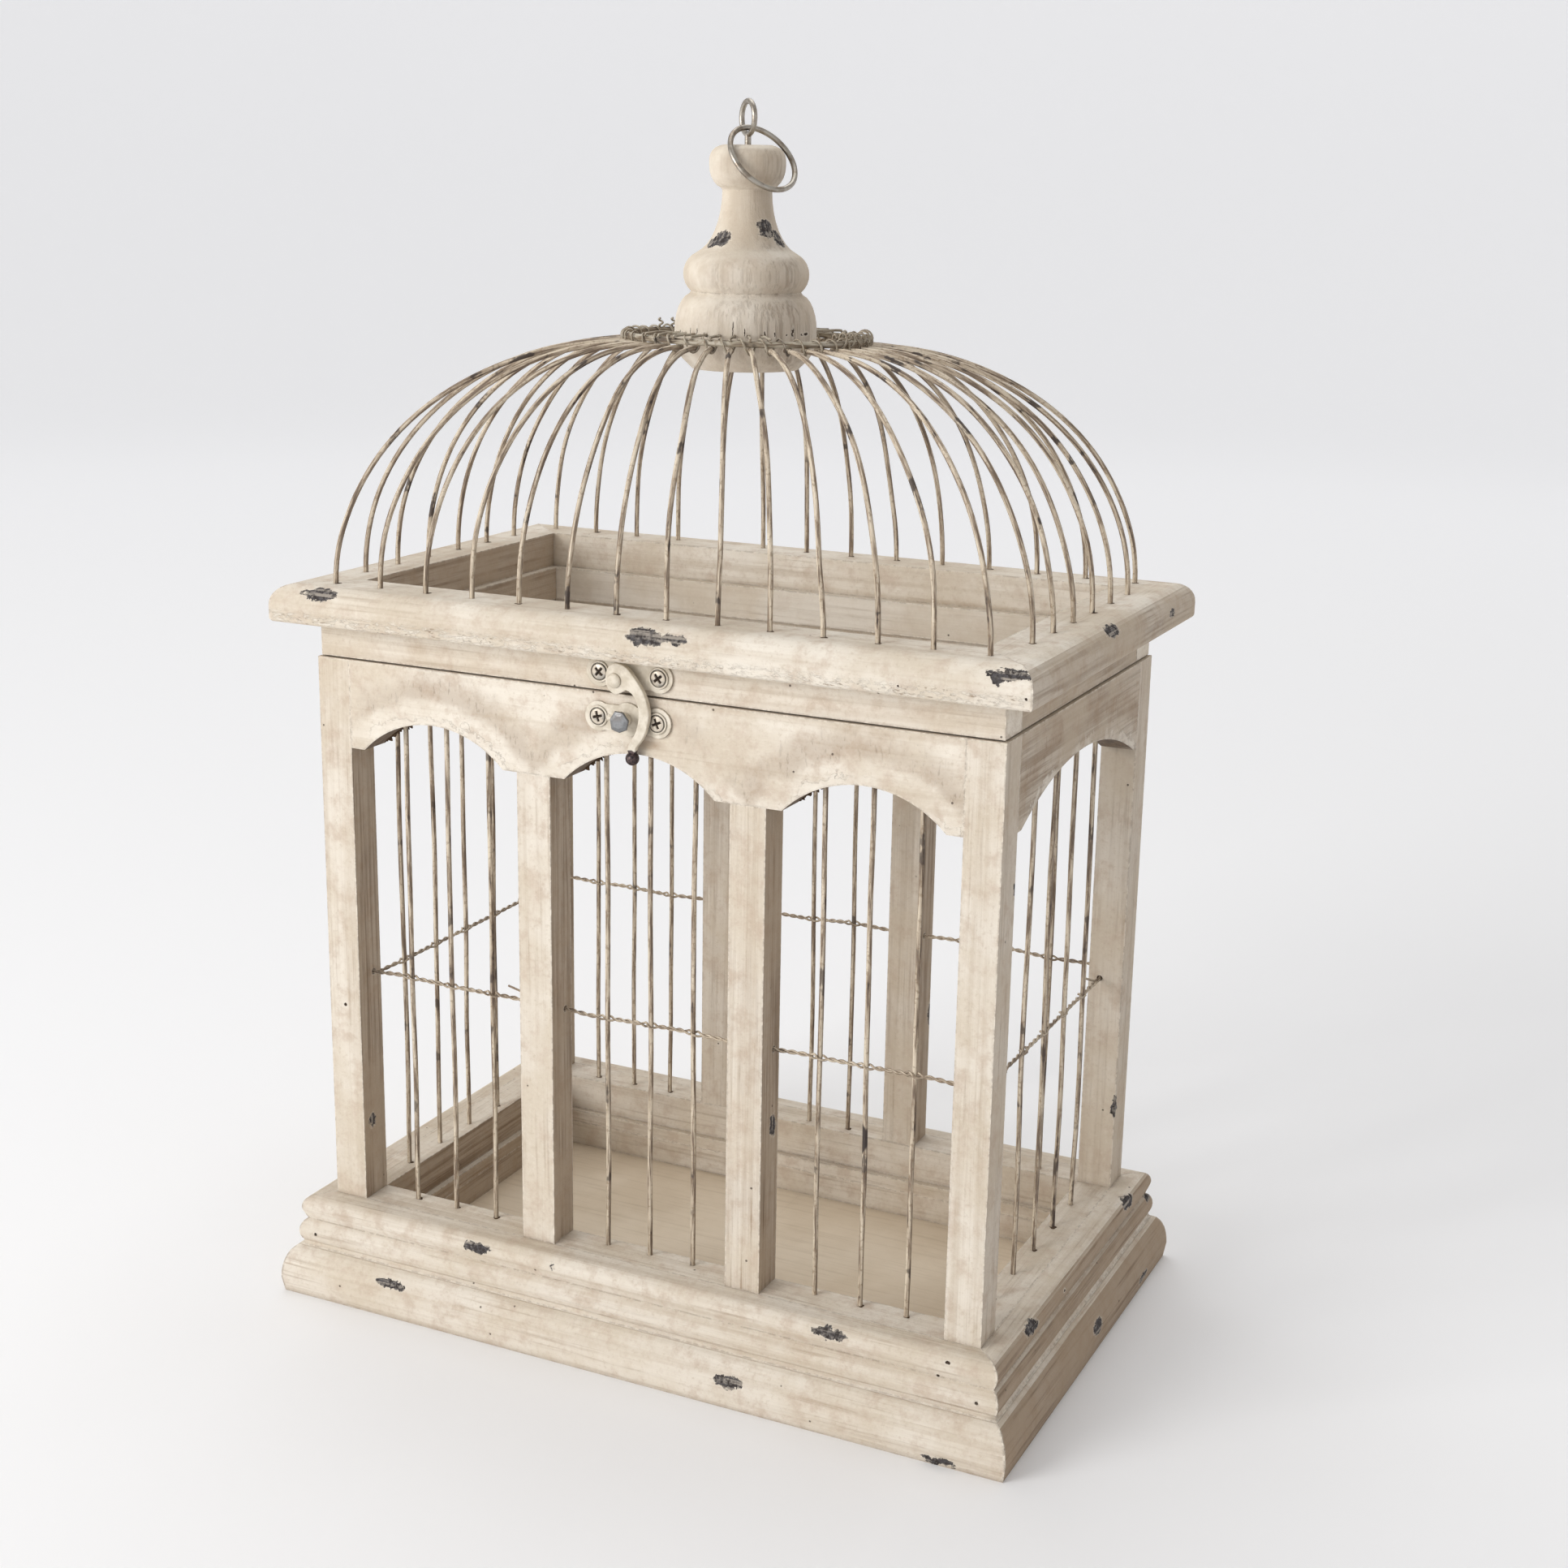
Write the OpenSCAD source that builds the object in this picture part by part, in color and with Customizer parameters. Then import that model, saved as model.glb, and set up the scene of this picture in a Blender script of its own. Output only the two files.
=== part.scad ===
// Domed wire-and-wood cage used as a wedding card box.
// The wooden cage stands on a moulded base. A framed lid with a wire dome and a turned
// finial swings up on two butt hinges at the back, and a swing hook holds it shut in front.
// Origin: centre of the base underside. +X is right, +Y is back, +Z is up.

/* [Cage body] */
// Width over the corner posts
body_w = 255; // [215:1:310]
// Depth over the corner posts
body_d = 150; // [125:1:185]
// Height from the base deck to the lid seam
frame_h = 203; // [165:1:245]
// Side of the square post stock
post_s = 13; // [12:0.5:16]
// Thickness of the scalloped aprons
apron_t = 12; // [11:0.5:12]
// Depth of the aprons where they meet a post
apron_h = 31.5; // [30:0.5:38]
// Rise of each front and back arch
arch_rise = 12; // [8:0.5:12.5]
// Flat length between a post and the start of a front or back arch
arch_flat = 5.6; // [3:0.2:8]
// Rise of the single arch on each side
side_rise = 13.5; // [8:0.5:14]
// Flat length between a corner post and the start of a side arch
side_flat = 3.5; // [2:0.5:8]

/* [Base] */
// Height of the lower base moulding
plinth_h = 18; // [15:0.5:22]
// How far the lower moulding stands out from the body
plinth_out = 15.5; // [13:0.5:18]
// Height of the upper base moulding
cap_h = 19; // [17:0.5:23]
// How far the upper moulding stands out from the body
cap_out = 10.4; // [9:0.2:12]
// Height of the sill rails that sit in the upper moulding
sill_h = 14; // [12:0.5:15]
// How far the base steps inwards below the sills
ledge = 2.5; // [1.5:0.5:4]
// Thickness of the floor panel
floor_t = 3; // [2.5:0.5:5]
// Height of the floor panel's underside
floor_z = 5; // [3:0.5:7]
// Lap of the floor panel under the lower moulding
floor_lap = 5; // [4:0.5:7]

/* [Lid] */
// Gap between the body and the closed lid
seam_gap = 0.5; // [0.4:0.1:1]
// Height of the rim under the lid moulding
rim_h = 12.5; // [12:0.5:16]
// How far the rim sits inside the body's outline
rim_inset = 1; // [0.5:0.1:1.5]
// Width of the rim rails
rim_w = 14.5; // [13.5:0.5:16]
// Thickness of the lid moulding
lid_t = 13; // [11:0.5:15]
// How far the lid moulding stands out from the body
lid_out = 11.5; // [10:0.5:14]
// Width of the lid moulding rails
lid_w = 24; // [22:0.5:26]

/* [Dome] */
// Diameter of the cage and dome wires
wire_d = 1.8; // [1.4:0.1:2.2]
// Rise from the lid to the oval ring at the crown
dome_h = 85; // [70:1:100]
// Gap between the finial's bowl and the crown ring, at the front and back
crown_gap = 7.7; // [6:0.1:12]
// How much longer than wide the crown ring is, as half lengths
crown_long = 11; // [6:0.5:16]
// Diameter of the crown ring's wire
crown_d = 2.2; // [1.8:0.1:2.6]
// Distance of the outermost front and back wire feet from the lid's corners
front_foot_end = 18.75; // [16:0.25:30]
// Distance of the outermost side wire feet from the lid's corners
side_foot_end = 37.5; // [25:0.5:45]

/* [Finial] */
// Largest radius of the finial's lower bowl
bowl_r = 24.3; // [22:0.1:26]
// Largest radius of the finial's upper bulge
bulge_r = 21.4; // [19:0.1:23]
// Smallest radius of the finial's neck
neck_r = 8.4; // [7:0.1:10]
// Radius of the ball at the finial's tip
ball_r = 12.9; // [11:0.1:13]

/* [Hanging ring] */
// Radius of the hanging ring to the middle of its wire
ring_r = 12.6; // [12.2:0.1:14]
// Diameter of the hanging ring's wire
ring_wire = 1.9; // [1.5:0.1:2.1]
// Radius of the screw eye to the middle of its wire
eye_r = 5.35; // [5:0.05:6]
// Diameter of the screw eye's wire
eye_wire = 1.9; // [1.6:0.1:2.2]

/* [Clasp and hinges] */
// Distance of the clasp from the middle of the front, to the left
latch_left = 3.5; // [0:0.5:12]
// Distance between the two screws of each clasp plate
latch_screw_gap = 22; // [20:0.5:26]
// Thickness of the clasp plates
plate_t = 0.8; // [0.6:0.1:1]
// Thickness of the clasp hook
hook_t = 2; // [1.5:0.1:2.5]
// Distance of each hinge from the middle of the back
hinge_x = 75; // [55:1:90]
// Length of each hinge
hinge_l = 24; // [20:1:30]
// Diameter of the hinge pins
pin_d = 1.6; // [1.4:0.1:1.8]

/* [Hidden] */
$fn = 48;

// Names of the separate pieces

// Running and drilling clearances
drill_gap = 0.1;
pin_gap = 0.05;
wire_gap = 0.08;
big = 1000;

// Heights
deck_z = plinth_h + cap_h;
seam_z = deck_z + frame_h;
rim_z = seam_z + seam_gap;
lid_z = rim_z + rim_h;
lid_top = lid_z + lid_t;
crown_z = lid_top + dome_h;
sill_z = deck_z - sill_h;
apron_z = seam_z - apron_h;

// Plan sizes: half sizes of the body, and of the opening inside the base
half_w = body_w / 2;
half_d = body_d / 2;
base_in = post_s + ledge;
bay = (body_w - 4 * post_s) / 3;
side_bay = body_d - 2 * post_s;
mid_x = (bay + post_s) / 2;

// Upright wires
upright_in = 8.75;
uprights_per_bay = 3;
uprights_per_side = 5;
upright_sunk = 8;
upright_top = apron_z + max(arch_rise, side_rise) + 6;
wire_hole_r = (wire_d + drill_gap) / 2;

// Tie wires
tie_d = 0.8;
tie_z = deck_z + 86;
side_tie_z = tie_z - 3.5;
tie_swing = (wire_d + tie_d) / 2 + wire_gap;
tie_lift = 0.6;
tie_sunk = 3;
tie_hole_r = tie_lift + tie_d / 2 + drill_gap;
tie_steps = 4;

// Dome
front_feet = 14;
side_feet = 6;
foot_pitch = 2 * (half_w + lid_out - front_foot_end) / (front_feet - 1);
side_foot_pitch = 2 * (half_d + lid_out - side_foot_end) / (side_feet - 1);
crown_b = bowl_r + crown_gap;
crown_a = crown_b + crown_long;
foot_in_front = 13.5;
foot_in_side = 14;
foot_sunk = 8;
foot_y = half_d + lid_out - foot_in_front;
foot_x = half_w + lid_out - foot_in_side;
crown_step = 360 / (2 * (front_feet + side_feet));
dome_rings = 11;
tube_sides_n = 8;
wire_under = (crown_d + wire_d) / 2 + wire_gap;
wire_past = 2.5;
stay_d = 1;
stay_first = 3;
stay_last = 10;
stay_sunk = 5;
stay_z = crown_z + (crown_d + stay_d) / 2 + wire_gap;
lash_d = 0.9;
lash_r = (crown_d + lash_d) / 2 + wire_gap;

// Finial heights, from the bowl's underside
finial_z = crown_z - 10.5;
bowl_h = 25;
bulge_h = 12;
neck_h = 22;
ball_h = 14.7;
ball_edge_r = 4.6;
finial_h = bowl_h + bulge_h + neck_h + ball_h;
finial_top = finial_z + finial_h;

// Screw eye and hanging ring
eye_turn = 50;
eye_show = 3.4;
ring_turn = 67;
eye_z = finial_top + eye_show + eye_r;
eye_shank_d = 2.2;
eye_sunk = 14;
ring_rest = 0.3;
ring_axis_z = eye_z - eye_r + (eye_wire + ring_wire) / 2 + ring_rest;
ring_lean = leaning_from(20);

// Clasp
screw_head_r = 3.6;
screw_head_h = 0.7;
screw_d = 2.4;
screw_l = 9;
plate_edge = 0.65;
plate_mid_r = rim_h / 2 - plate_edge;
plate_end_r = plate_mid_r - 0.6;
hook_gap = 0.3;
latch_y = -(half_d - rim_inset);
hook_back_y = -(half_d + plate_t + screw_head_h + hook_gap);
hook_front_y = hook_back_y - hook_t;
hook_plate_z = rim_z + rim_h / 2 + 0.05;
keeper_z = seam_z - 8;
rivet_x = -latch_left - 3.3;
rivet_z = hook_plate_z - 1.5;
rivet_r = 1.5;
rivet_head_r = 2.5;
rivet_head_h = 1.2;
hook_eye_r = 5.4;
hook_outer_r = 16.4;
hook_inner_r = 15.7;
hook_outer = [rivet_x - 3.6, rivet_z - 9.8];
hook_inner = [rivet_x - 7, rivet_z - 11];
hook_tip_z = rivet_z - 24;
ball_tip_r = 2.3;
ball_tip = [rivet_x + 6.2, hook_tip_z - 1.6];
keeper_x = -latch_left - 0.7;
keeper_post_r = 2.1;
keeper_head_r = 3.3;
keeper_head_h = 1.6;

// Hinges
leaf_t = 1;
leaf_h = 9;
knuckle_r = 1.8;
knuckles = 5;
knuckle_l = hinge_l / knuckles;
knuckle_gap = 0.2;
hinge_y = half_d + 2.1;
hinge_z = seam_z + seam_gap / 2;
hinge_screw_d = 1.8;
hinge_screw_l = 7;
hinge_screw_x = hinge_l / 2 - 4.5;
hinge_head_r = 2;
hinge_head_h = 0.7;
hinge_screw_h = 5.8;

// Brads
brad_d = 1.2;
floor_brad_l = plinth_h - floor_z - 1;
corner_brad_l = 16;
brad_end = 45;
brad_head_out = 0.6;

// Colours
paint = [0.80, 0.73, 0.62];
shade = [0.70, 0.62, 0.50];
wire_paint = [0.66, 0.58, 0.45];
steel = [0.62, 0.60, 0.56];

// ---------- shared shapes ----------

// Points of an elliptical arc about c, from angle a0 to a1
function arc(c, rx, ry, a0, a1, n) =
    [for (i = [0 : n]) c + [rx * cos(a0 + (a1 - a0) * i / n), ry * sin(a0 + (a1 - a0) * i / n)]];

// Vertices of a tube: one ring of n points round each centre of the path
function tube_points(path, us, vs, r, n) =
    [for (i = [0 : len(path) - 1], k = [0 : n - 1])
        path[i] + r * (cos(360 * k / n) * us[i] + sin(360 * k / n) * vs[i])];

// Triangles between neighbouring rings of a tube
function tube_walls(rings, n, closed) =
    [for (i = [0 : rings - (closed ? 1 : 2)], k = [0 : n - 1], half = [0, 1])
        let (j = (i + 1) % rings, m = (k + 1) % n)
        half == 0 ? [i * n + k, j * n + m, i * n + m] : [i * n + k, j * n + k, j * n + m]];

// A round wire along a path, with the two cross-section directions at each point
module tube(path, us, vs, r, n, closed = false) {
    rings = len(path);
    start_cap = [for (k = [0 : n - 1]) k];
    end_cap = [for (k = [0 : n - 1]) rings * n - 1 - k];
    caps = closed ? [] : [start_cap, end_cap];
    polyhedron(tube_points(path, us, vs, r, n), concat(tube_walls(rings, n, closed), caps));
}

// Turn a front piece to another side: 0 front, 1 right, 2 back, 3 left
module on_side(side) {
    rotate([0, 0, 90 * side]) children();
}

// Half length and distance from the axis of the body's outline on a side
function run(side) = side % 2 == 0 ? half_w : half_d;
function off(side) = side % 2 == 0 ? half_d : half_w;

// A profile of [outward, up] points run along one side, square at both ends
module straight_rail(profile, side, half_l) {
    on_side(side) translate([-half_l, -off(side), 0]) rotate([90, 0, 90])
        linear_extrude(2 * half_l) polygon([for (p = profile) [-p[0], p[1]]]);
}

// The same, with its ends cut at 45 degrees to meet the next side
module mitred_rail(profile, side) {
    reach = 30;
    a = run(side);
    b = off(side);
    intersection() {
        straight_rail(profile, side, a + reach);
        on_side(side) linear_extrude(big)
            polygon([[-a - reach, -b - reach], [a + reach, -b - reach],
                [a - reach, -b + reach], [-a + reach, -b + reach]]);
    }
}

// Rectangle profile between two outward distances and two heights
function box_profile(out0, out1, z0, z1) = [[out0, z0], [out1, z0], [out1, z1], [out0, z1]];

// Upright wire positions along a side
function front_upright_x() =
    [for (b = [-1 : 1], i = [1 : uprights_per_bay])
        b * (bay + post_s) + (i / (uprights_per_bay + 1) - 0.5) * bay];
function side_upright_x() =
    [for (i = [1 : uprights_per_side]) (i / (uprights_per_side + 1) - 0.5) * side_bay];
function upright_x(side) = side % 2 == 0 ? front_upright_x() : side_upright_x();

// Upright wires of one side, or the holes for them when grow is set
module uprights(side, r, z0, z1) {
    on_side(side) for (x = upright_x(side))
        translate([x, -off(side) + upright_in, z0]) cylinder(r = r, h = z1 - z0);
}

// ---------- base ----------

// Section of the lower moulding: a quarter round over a plain foot, with a rabbet for the floor
function plinth_profile() = concat(
    [[-base_in, floor_z + floor_t], [-base_in, plinth_h]],
    arc([plinth_out - 6, plinth_h - 12.5], 6, 12.5, 90, 0, 8),
    [[plinth_out - 0.9, 0], [floor_lap - base_in, 0], [floor_lap - base_in, floor_z + floor_t]]);

// Section of the upper moulding: two beads with a groove, and a foot that carries the sills
function cap_profile() = concat(
    [[-base_in, plinth_h], [-base_in, sill_z], [0, sill_z], [0, deck_z]],
    arc([cap_out - 5, deck_z - 4.2], 4.1, 4.2, 90, -20, 7),
    arc([cap_out - 4, plinth_h + 5.2], 4, 5.2, 68, -68, 8),
    [[cap_out - 2.5, plinth_h]]);

module plinth(side) {
    color(paint) difference() {
        mitred_rail(plinth_profile(), side);
        brad_holes(side);
    }
}

// The cap carries sills and posts, and its corner brads run along the front and back
module base_cap(side) {
    color(paint) difference() {
        mitred_rail(cap_profile(), side);
        corner_brads((brad_d + drill_gap) / 2);
    }
}

function floor_half(side) = run(side) - base_in + floor_lap - 2 * drill_gap;

module floor_panel() {
    color(shade) difference() {
        translate([-floor_half(0), -floor_half(1), floor_z])
            cube([2 * floor_half(0), 2 * floor_half(1), floor_t]);
        for (side = [0 : 3]) brad_holes(side);
    }
}

// Floor brads stand in the middle of the panel's lap
function brad_x(side) = side % 2 == 0 ? [-1, 0, 1] * (half_w - brad_end) : [-0.5, 0.5] * half_d;

module brads_on(side, r) {
    on_side(side) for (x = brad_x(side))
        translate([x, -off(side) + base_in - floor_lap / 2, floor_z - brad_head_out]) cylinder(r = r, h = floor_brad_l);
}

module brad_holes(side) {
    brads_on(side, (brad_d + drill_gap) / 2);
}

// Brads driven through the front and back caps into the side caps, beside each mitre
module corner_brads(r) {
    for (sx = [-1, 1], sy = [-1, 1])
        translate([sx * (half_w + 3), sy * (half_d + cap_out + 1), plinth_h + 5.2])
            rotate([90 * sy, 0, 0]) cylinder(r = r, h = corner_brad_l);
}

// Brads of the floor and the caps; the cap brads end just under the moulding's surface
module base_brads() {
    color(steel) {
        for (side = [0 : 3]) brads_on(side, brad_d / 2);
        intersection() {
            corner_brads(brad_d / 2);
            translate([-big / 2, -half_d - cap_out + brad_head_out, 0])
                cube([big, 2 * (half_d + cap_out - brad_head_out), big]);
        }
    }
}

module sill(side) {
    half_l = run(side) - post_s;
    color(paint) difference() {
        straight_rail(box_profile(-post_s, 0, sill_z, deck_z), side, half_l);
        uprights(side, wire_hole_r, deck_z - upright_sunk - drill_gap, deck_z + 1);
    }
}

// ---------- posts and aprons ----------

// Holes for the ends of the tie wires, in every post face that looks along a bay
module tie_holes() {
    for (side = [0 : 3]) on_side(side)
        for (c = bay_centres(side), s = [-1, 1])
            translate([c + s * bay_len(side) / 2, -off(side) + upright_in, tie_height(side)])
                rotate([0, 90, 0])
                    cylinder(r = tie_hole_r, h = 2 * (tie_sunk + drill_gap), center = true);
}

function bay_centres(side) = side % 2 == 0 ? [-1, 0, 1] * (bay + post_s) : [0];
function bay_len(side) = side % 2 == 0 ? bay : side_bay;
function tie_height(side) = side % 2 == 0 ? tie_z : side_tie_z;

module corner_post(sx, sy) {
    color(paint) difference() {
        translate([sx * (half_w - post_s / 2) - post_s / 2, sy * (half_d - post_s / 2) - post_s / 2, sill_z])
            cube([post_s, post_s, seam_z - sill_z]);
        tie_holes();
    }
}

module mid_post(sx, sy) {
    color(paint) difference() {
        translate([sx * mid_x - post_s / 2, sy * (half_d - post_s / 2) - post_s / 2, deck_z])
            cube([post_s, post_s, apron_z - deck_z]);
        tie_holes();
    }
}

// Radius of an arch from its half width and rise
function arch_r(half, rise) = (half * half + rise * rise) / (2 * rise);

module arches(side) {
    rise = side % 2 == 0 ? arch_rise : side_rise;
    half = bay_len(side) / 2 - (side % 2 == 0 ? arch_flat : side_flat);
    r = arch_r(half, rise);
    on_side(side) for (c = bay_centres(side))
        translate([c, -off(side) + post_s, apron_z + rise - r])
            rotate([90, 0, 0]) cylinder(r = r, h = 2 * post_s, $fn = 96);
}

module apron_blank(side) {
    difference() {
        straight_rail(box_profile(-apron_t, 0, apron_z, seam_z), side, run(side) - post_s);
        arches(side);
        uprights(side, wire_hole_r, apron_z - 1, upright_top + drill_gap);
    }
}

module apron_front() {
    color(paint) difference() {
        apron_blank(0);
        latch_screws(keeper_z, -half_d, (screw_d + drill_gap) / 2);
    }
}

module apron_back() {
    color(paint) difference() {
        apron_blank(2);
        hinge_screw_holes(-1, half_d);
    }
}

// ---------- wires of the cage ----------

module wires(side) {
    color(wire_paint) uprights(side, wire_d / 2, deck_z - upright_sunk, upright_top);
}

// Turn of a tie wire about its neighbour: it changes sides between uprights
function tie_phase(s, n) =
    s < 1 ? 90 * (s - 1) : s > n ? 180 * (n - 1) + 90 * (s - n) : 180 * (s - 1);

function tie_point(s, n, len, sign) =
    [(s / (n + 1) - 0.5) * len, sign * tie_swing * cos(tie_phase(s, n)), sign * tie_lift * sin(tie_phase(s, n))];

module tie_strand(n, len, sign) {
    steps = (n + 1) * tie_steps;
    inner = [for (i = [0 : steps]) tie_point(i / tie_steps, n, len, sign)];
    path = concat([inner[0] - [tie_sunk, 0, 0]], inner, [inner[steps] + [tie_sunk, 0, 0]]);
    tube(path, [for (p = path) [0, 1, 0]], [for (p = path) [0, 0, 1]], tie_d / 2, 6);
}

module tie_wires(side) {
    n = side % 2 == 0 ? uprights_per_bay : uprights_per_side;
    color(wire_paint) on_side(side) for (c = bay_centres(side), sign = [-1, 1])
        translate([c, -off(side) + upright_in, tie_height(side)]) tie_strand(n, bay_len(side), sign);
}

// ---------- lid ----------

// Section of the lid moulding: a bullnose outer edge
function lid_profile() = concat(
    [[lid_out - lid_w, lid_z], [lid_out - lid_w, lid_top]],
    arc([lid_out - 7, lid_top - 7], 7, 7, 90, 0, 8),
    arc([lid_out - 1.5, lid_z + 1.5], 1.5, 1.5, 0, -90, 4));

module lid_moulding(side) {
    color(paint) difference() {
        mitred_rail(lid_profile(), side);
        for (foot = feet(side)) translate([foot[0], foot[1], lid_top - foot_sunk - drill_gap])
            cylinder(r = wire_hole_r, h = lid_t);
    }
}

// Rim rails: the front and back ones run full length and the side ones butt against them
module lid_rim(side) {
    full = run(side) - rim_inset;
    half_l = side % 2 == 0 ? full : full - rim_w;
    straight_rail(box_profile(-rim_inset - rim_w, -rim_inset, rim_z, lid_z), side, half_l);
}

module lid_rim_front() {
    color(paint) difference() {
        lid_rim(0);
        latch_screws(hook_plate_z, latch_y, (screw_d + drill_gap) / 2);
    }
}

module lid_rim_back() {
    color(paint) difference() {
        lid_rim(2);
        hinge_screw_holes(1, half_d - rim_inset);
    }
}

// ---------- dome ----------

// Feet of the dome wires on a side, and the crown angle of each, anticlockwise from the front
function front_foot_x(i) = (i - (front_feet - 1) / 2) * foot_pitch;
function side_foot_y(j) = (j - (side_feet - 1) / 2) * side_foot_pitch;
function feet(side) =
    side == 0 ? [for (i = [0 : front_feet - 1]) [front_foot_x(i), -foot_y]] :
    side == 1 ? [for (j = [0 : side_feet - 1]) [foot_x, side_foot_y(j)]] :
    side == 2 ? [for (i = [0 : front_feet - 1]) [-front_foot_x(i), foot_y]] :
    [for (j = [0 : side_feet - 1]) [-foot_x, -side_foot_y(j)]];
function feet_count(side) = side % 2 == 0 ? front_feet : side_feet;
function crown_angle(side, i) = 90 * side + (i - (feet_count(side) - 1) / 2) * crown_step;
function crown_point(t) = [crown_a * sin(t), -crown_b * cos(t)];

// Quarter ellipse in the upright plane from a foot to the crown, and on past the ring
module dome_wire(foot, t) {
    top = crown_point(t);
    plan = top - foot;
    reach = norm(plan);
    inward = [plan[0] / reach, plan[1] / reach, 0];
    across = [-inward[1], inward[0], 0];
    rise = crown_z - wire_under - lid_top;
    base = [foot[0], foot[1], lid_top];
    curve = [for (i = [0 : dome_rings]) let (a = 90 * i / dome_rings)
        base + reach * (1 - cos(a)) * inward + [0, 0, rise * sin(a)]];
    slopes = [for (i = [0 : dome_rings]) let (a = 90 * i / dome_rings)
        unit(reach * sin(a) * inward + [0, 0, rise * cos(a)])];
    path = concat([base - [0, 0, foot_sunk]], curve, [curve[dome_rings] + wire_past * inward]);
    dirs = concat([[0, 0, 1]], slopes, [inward]);
    tube(path, [for (d = dirs) across], [for (d = dirs) cross(across, d)], wire_d / 2, tube_sides_n);
}

function unit(v) = v / norm(v);

module dome_wires(side) {
    color(wire_paint) for (i = [0 : feet_count(side) - 1]) dome_wire(feet(side)[i], crown_angle(side, i));
}

// Outward direction of the oval at angle t
function crown_out(t) = unit([crown_b * sin(t), -crown_a * cos(t), 0]);

module crown_ring() {
    angles = [for (i = [0 : 47]) i * 7.5];
    path = [for (t = angles) [crown_point(t)[0], crown_point(t)[1], crown_z]];
    outs = [for (t = angles) crown_out(t)];
    color(wire_paint) tube(path, outs, [for (t = angles) [0, 0, 1]], crown_d / 2, tube_sides_n, true);
}

// One turn of thin wire round the crown ring beside each dome wire, and stays into the finial
module crown_lashing() {
    color(wire_paint) for (side = [0 : 3], i = [0 : feet_count(side) - 1]) {
        t = crown_angle(side, i) + crown_step / 2;
        translate([crown_point(t)[0], crown_point(t)[1], crown_z])
            rotate([90, 0, atan2(crown_out(t)[1], crown_out(t)[0])])
                rotate_extrude($fn = 24) translate([lash_r, 0]) circle(d = lash_d, $fn = 16);
    }
    color(wire_paint) stays(stay_d / 2);
}

// Stays lie over the ring and run to the middle of the finial's bowl
module stays(r) {
    for (side = [0, 2], i = [stay_first : stay_last]) {
        p = crown_point(crown_angle(side, i));
        rotate([0, 0, atan2(p[1], p[0])]) translate([bowl_r - stay_sunk, 0, stay_z])
            rotate([0, 90, 0]) cylinder(r = r, h = norm(p) + crown_d / 2 - bowl_r + stay_sunk, $fn = 16);
    }
}

// ---------- finial, screw eye and ring ----------

// Half section of the turned finial, from the underside up
function finial_profile() =
    let (groove_z = finial_z + bowl_h, neck_z = groove_z + bulge_h, ball_z = neck_z + neck_h)
    concat(
        [[0, finial_z], [bowl_r - 6, finial_z]],
        arc([bowl_r - 8, finial_z + 11.5], 8, 11, -60, 0, 5),
        arc([bowl_r - 6, finial_z + 12.5], 6, bowl_h - 12.5, 0, 80, 6),
        arc([bulge_r - 7.5, groove_z + 6.5], 7.5, 7.6, -50, 52, 8),
        arc([neck_r + 11, neck_z + neck_h], 11, neck_h + bulge_h - 13, 256, 180, 8),
        arc([ball_r - 5.5, ball_z + 8], 5.5, 7.6, -75, 0, 5),
        arc([ball_r - ball_edge_r, finial_top - ball_edge_r - 0.2], ball_edge_r, ball_edge_r, 0, 75, 4),
        [[ball_r - ball_edge_r - 0.2, finial_top], [0, finial_top]]);

module finial() {
    color(paint) difference() {
        rotate_extrude($fn = 64) polygon(finial_profile());
        translate([0, 0, finial_top - eye_sunk - drill_gap])
            cylinder(d = eye_shank_d + drill_gap, h = eye_sunk + 1);
        stays((stay_d + drill_gap) / 2);
    }
}

module screw_eye() {
    color(steel) {
        translate([0, 0, eye_z]) rotate([90, 0, eye_turn + 90])
            rotate_extrude() translate([eye_r, 0]) circle(d = eye_wire, $fn = 24);
        translate([0, 0, finial_top - eye_sunk])
            cylinder(d = eye_shank_d, h = eye_z - eye_r - finial_top + eye_sunk);
    }
}

// Clearance between the hanging ring and the rounded top of the ball, at a lean from straight down
function ring_clearance(lean) = min([for (t = [0 : 5 : 355]) let (
    down = ring_r * (1 + cos(t)),
    rho = norm([ring_r * sin(t), down * sin(lean)]),
    z = ring_axis_z - down * cos(lean),
    outside = max(rho - ball_r + ball_edge_r, 0),
    above = max(z - finial_top + ball_edge_r, 0))
    norm([outside, above]) - ball_edge_r - ring_wire / 2]);

// The least lean, in whole degrees, that keeps the ring clear of the ball
function leaning_from(lean) = ring_clearance(lean) >= ring_rest ? lean : leaning_from(lean + 1);

// The ring hangs through the eye and leans on the ball
module hanging_ring() {
    color(steel) translate([0, 0, ring_axis_z]) rotate([0, 0, ring_turn])
        rotate([-ring_lean, 0, 0]) translate([0, 0, -ring_r]) rotate([90, 0, 0])
            rotate_extrude() translate([ring_r, 0]) circle(d = ring_wire, $fn = 24);
}

// ---------- clasp ----------

// Place a child on the front face, with its own +Z pointing out towards the viewer
module facing_front(x, y, z) {
    translate([x, y, z]) rotate([90, 0, 0]) children();
}

module latch_screws(z, face_y, r) {
    for (s = [-1, 1])
        facing_front(-latch_left + s * latch_screw_gap / 2, face_y + screw_l, z)
            cylinder(r = r, h = screw_l + 2);
}

// A plate with a round lobe at each screw and a wider one between
module latch_plate(z, face_y) {
    difference() {
        facing_front(-latch_left, face_y, z) {
            for (s = [-1, 1]) translate([s * latch_screw_gap / 2, 0, 0])
                cylinder(r = plate_end_r, h = plate_t);
            cylinder(r = plate_mid_r, h = plate_t);
            translate([-latch_screw_gap / 2, -plate_end_r + 0.6, 0])
                cube([latch_screw_gap, 2 * plate_end_r - 1.2, plate_t]);
        }
        latch_screws(z, face_y, (screw_d + drill_gap) / 2);
    }
}

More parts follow.
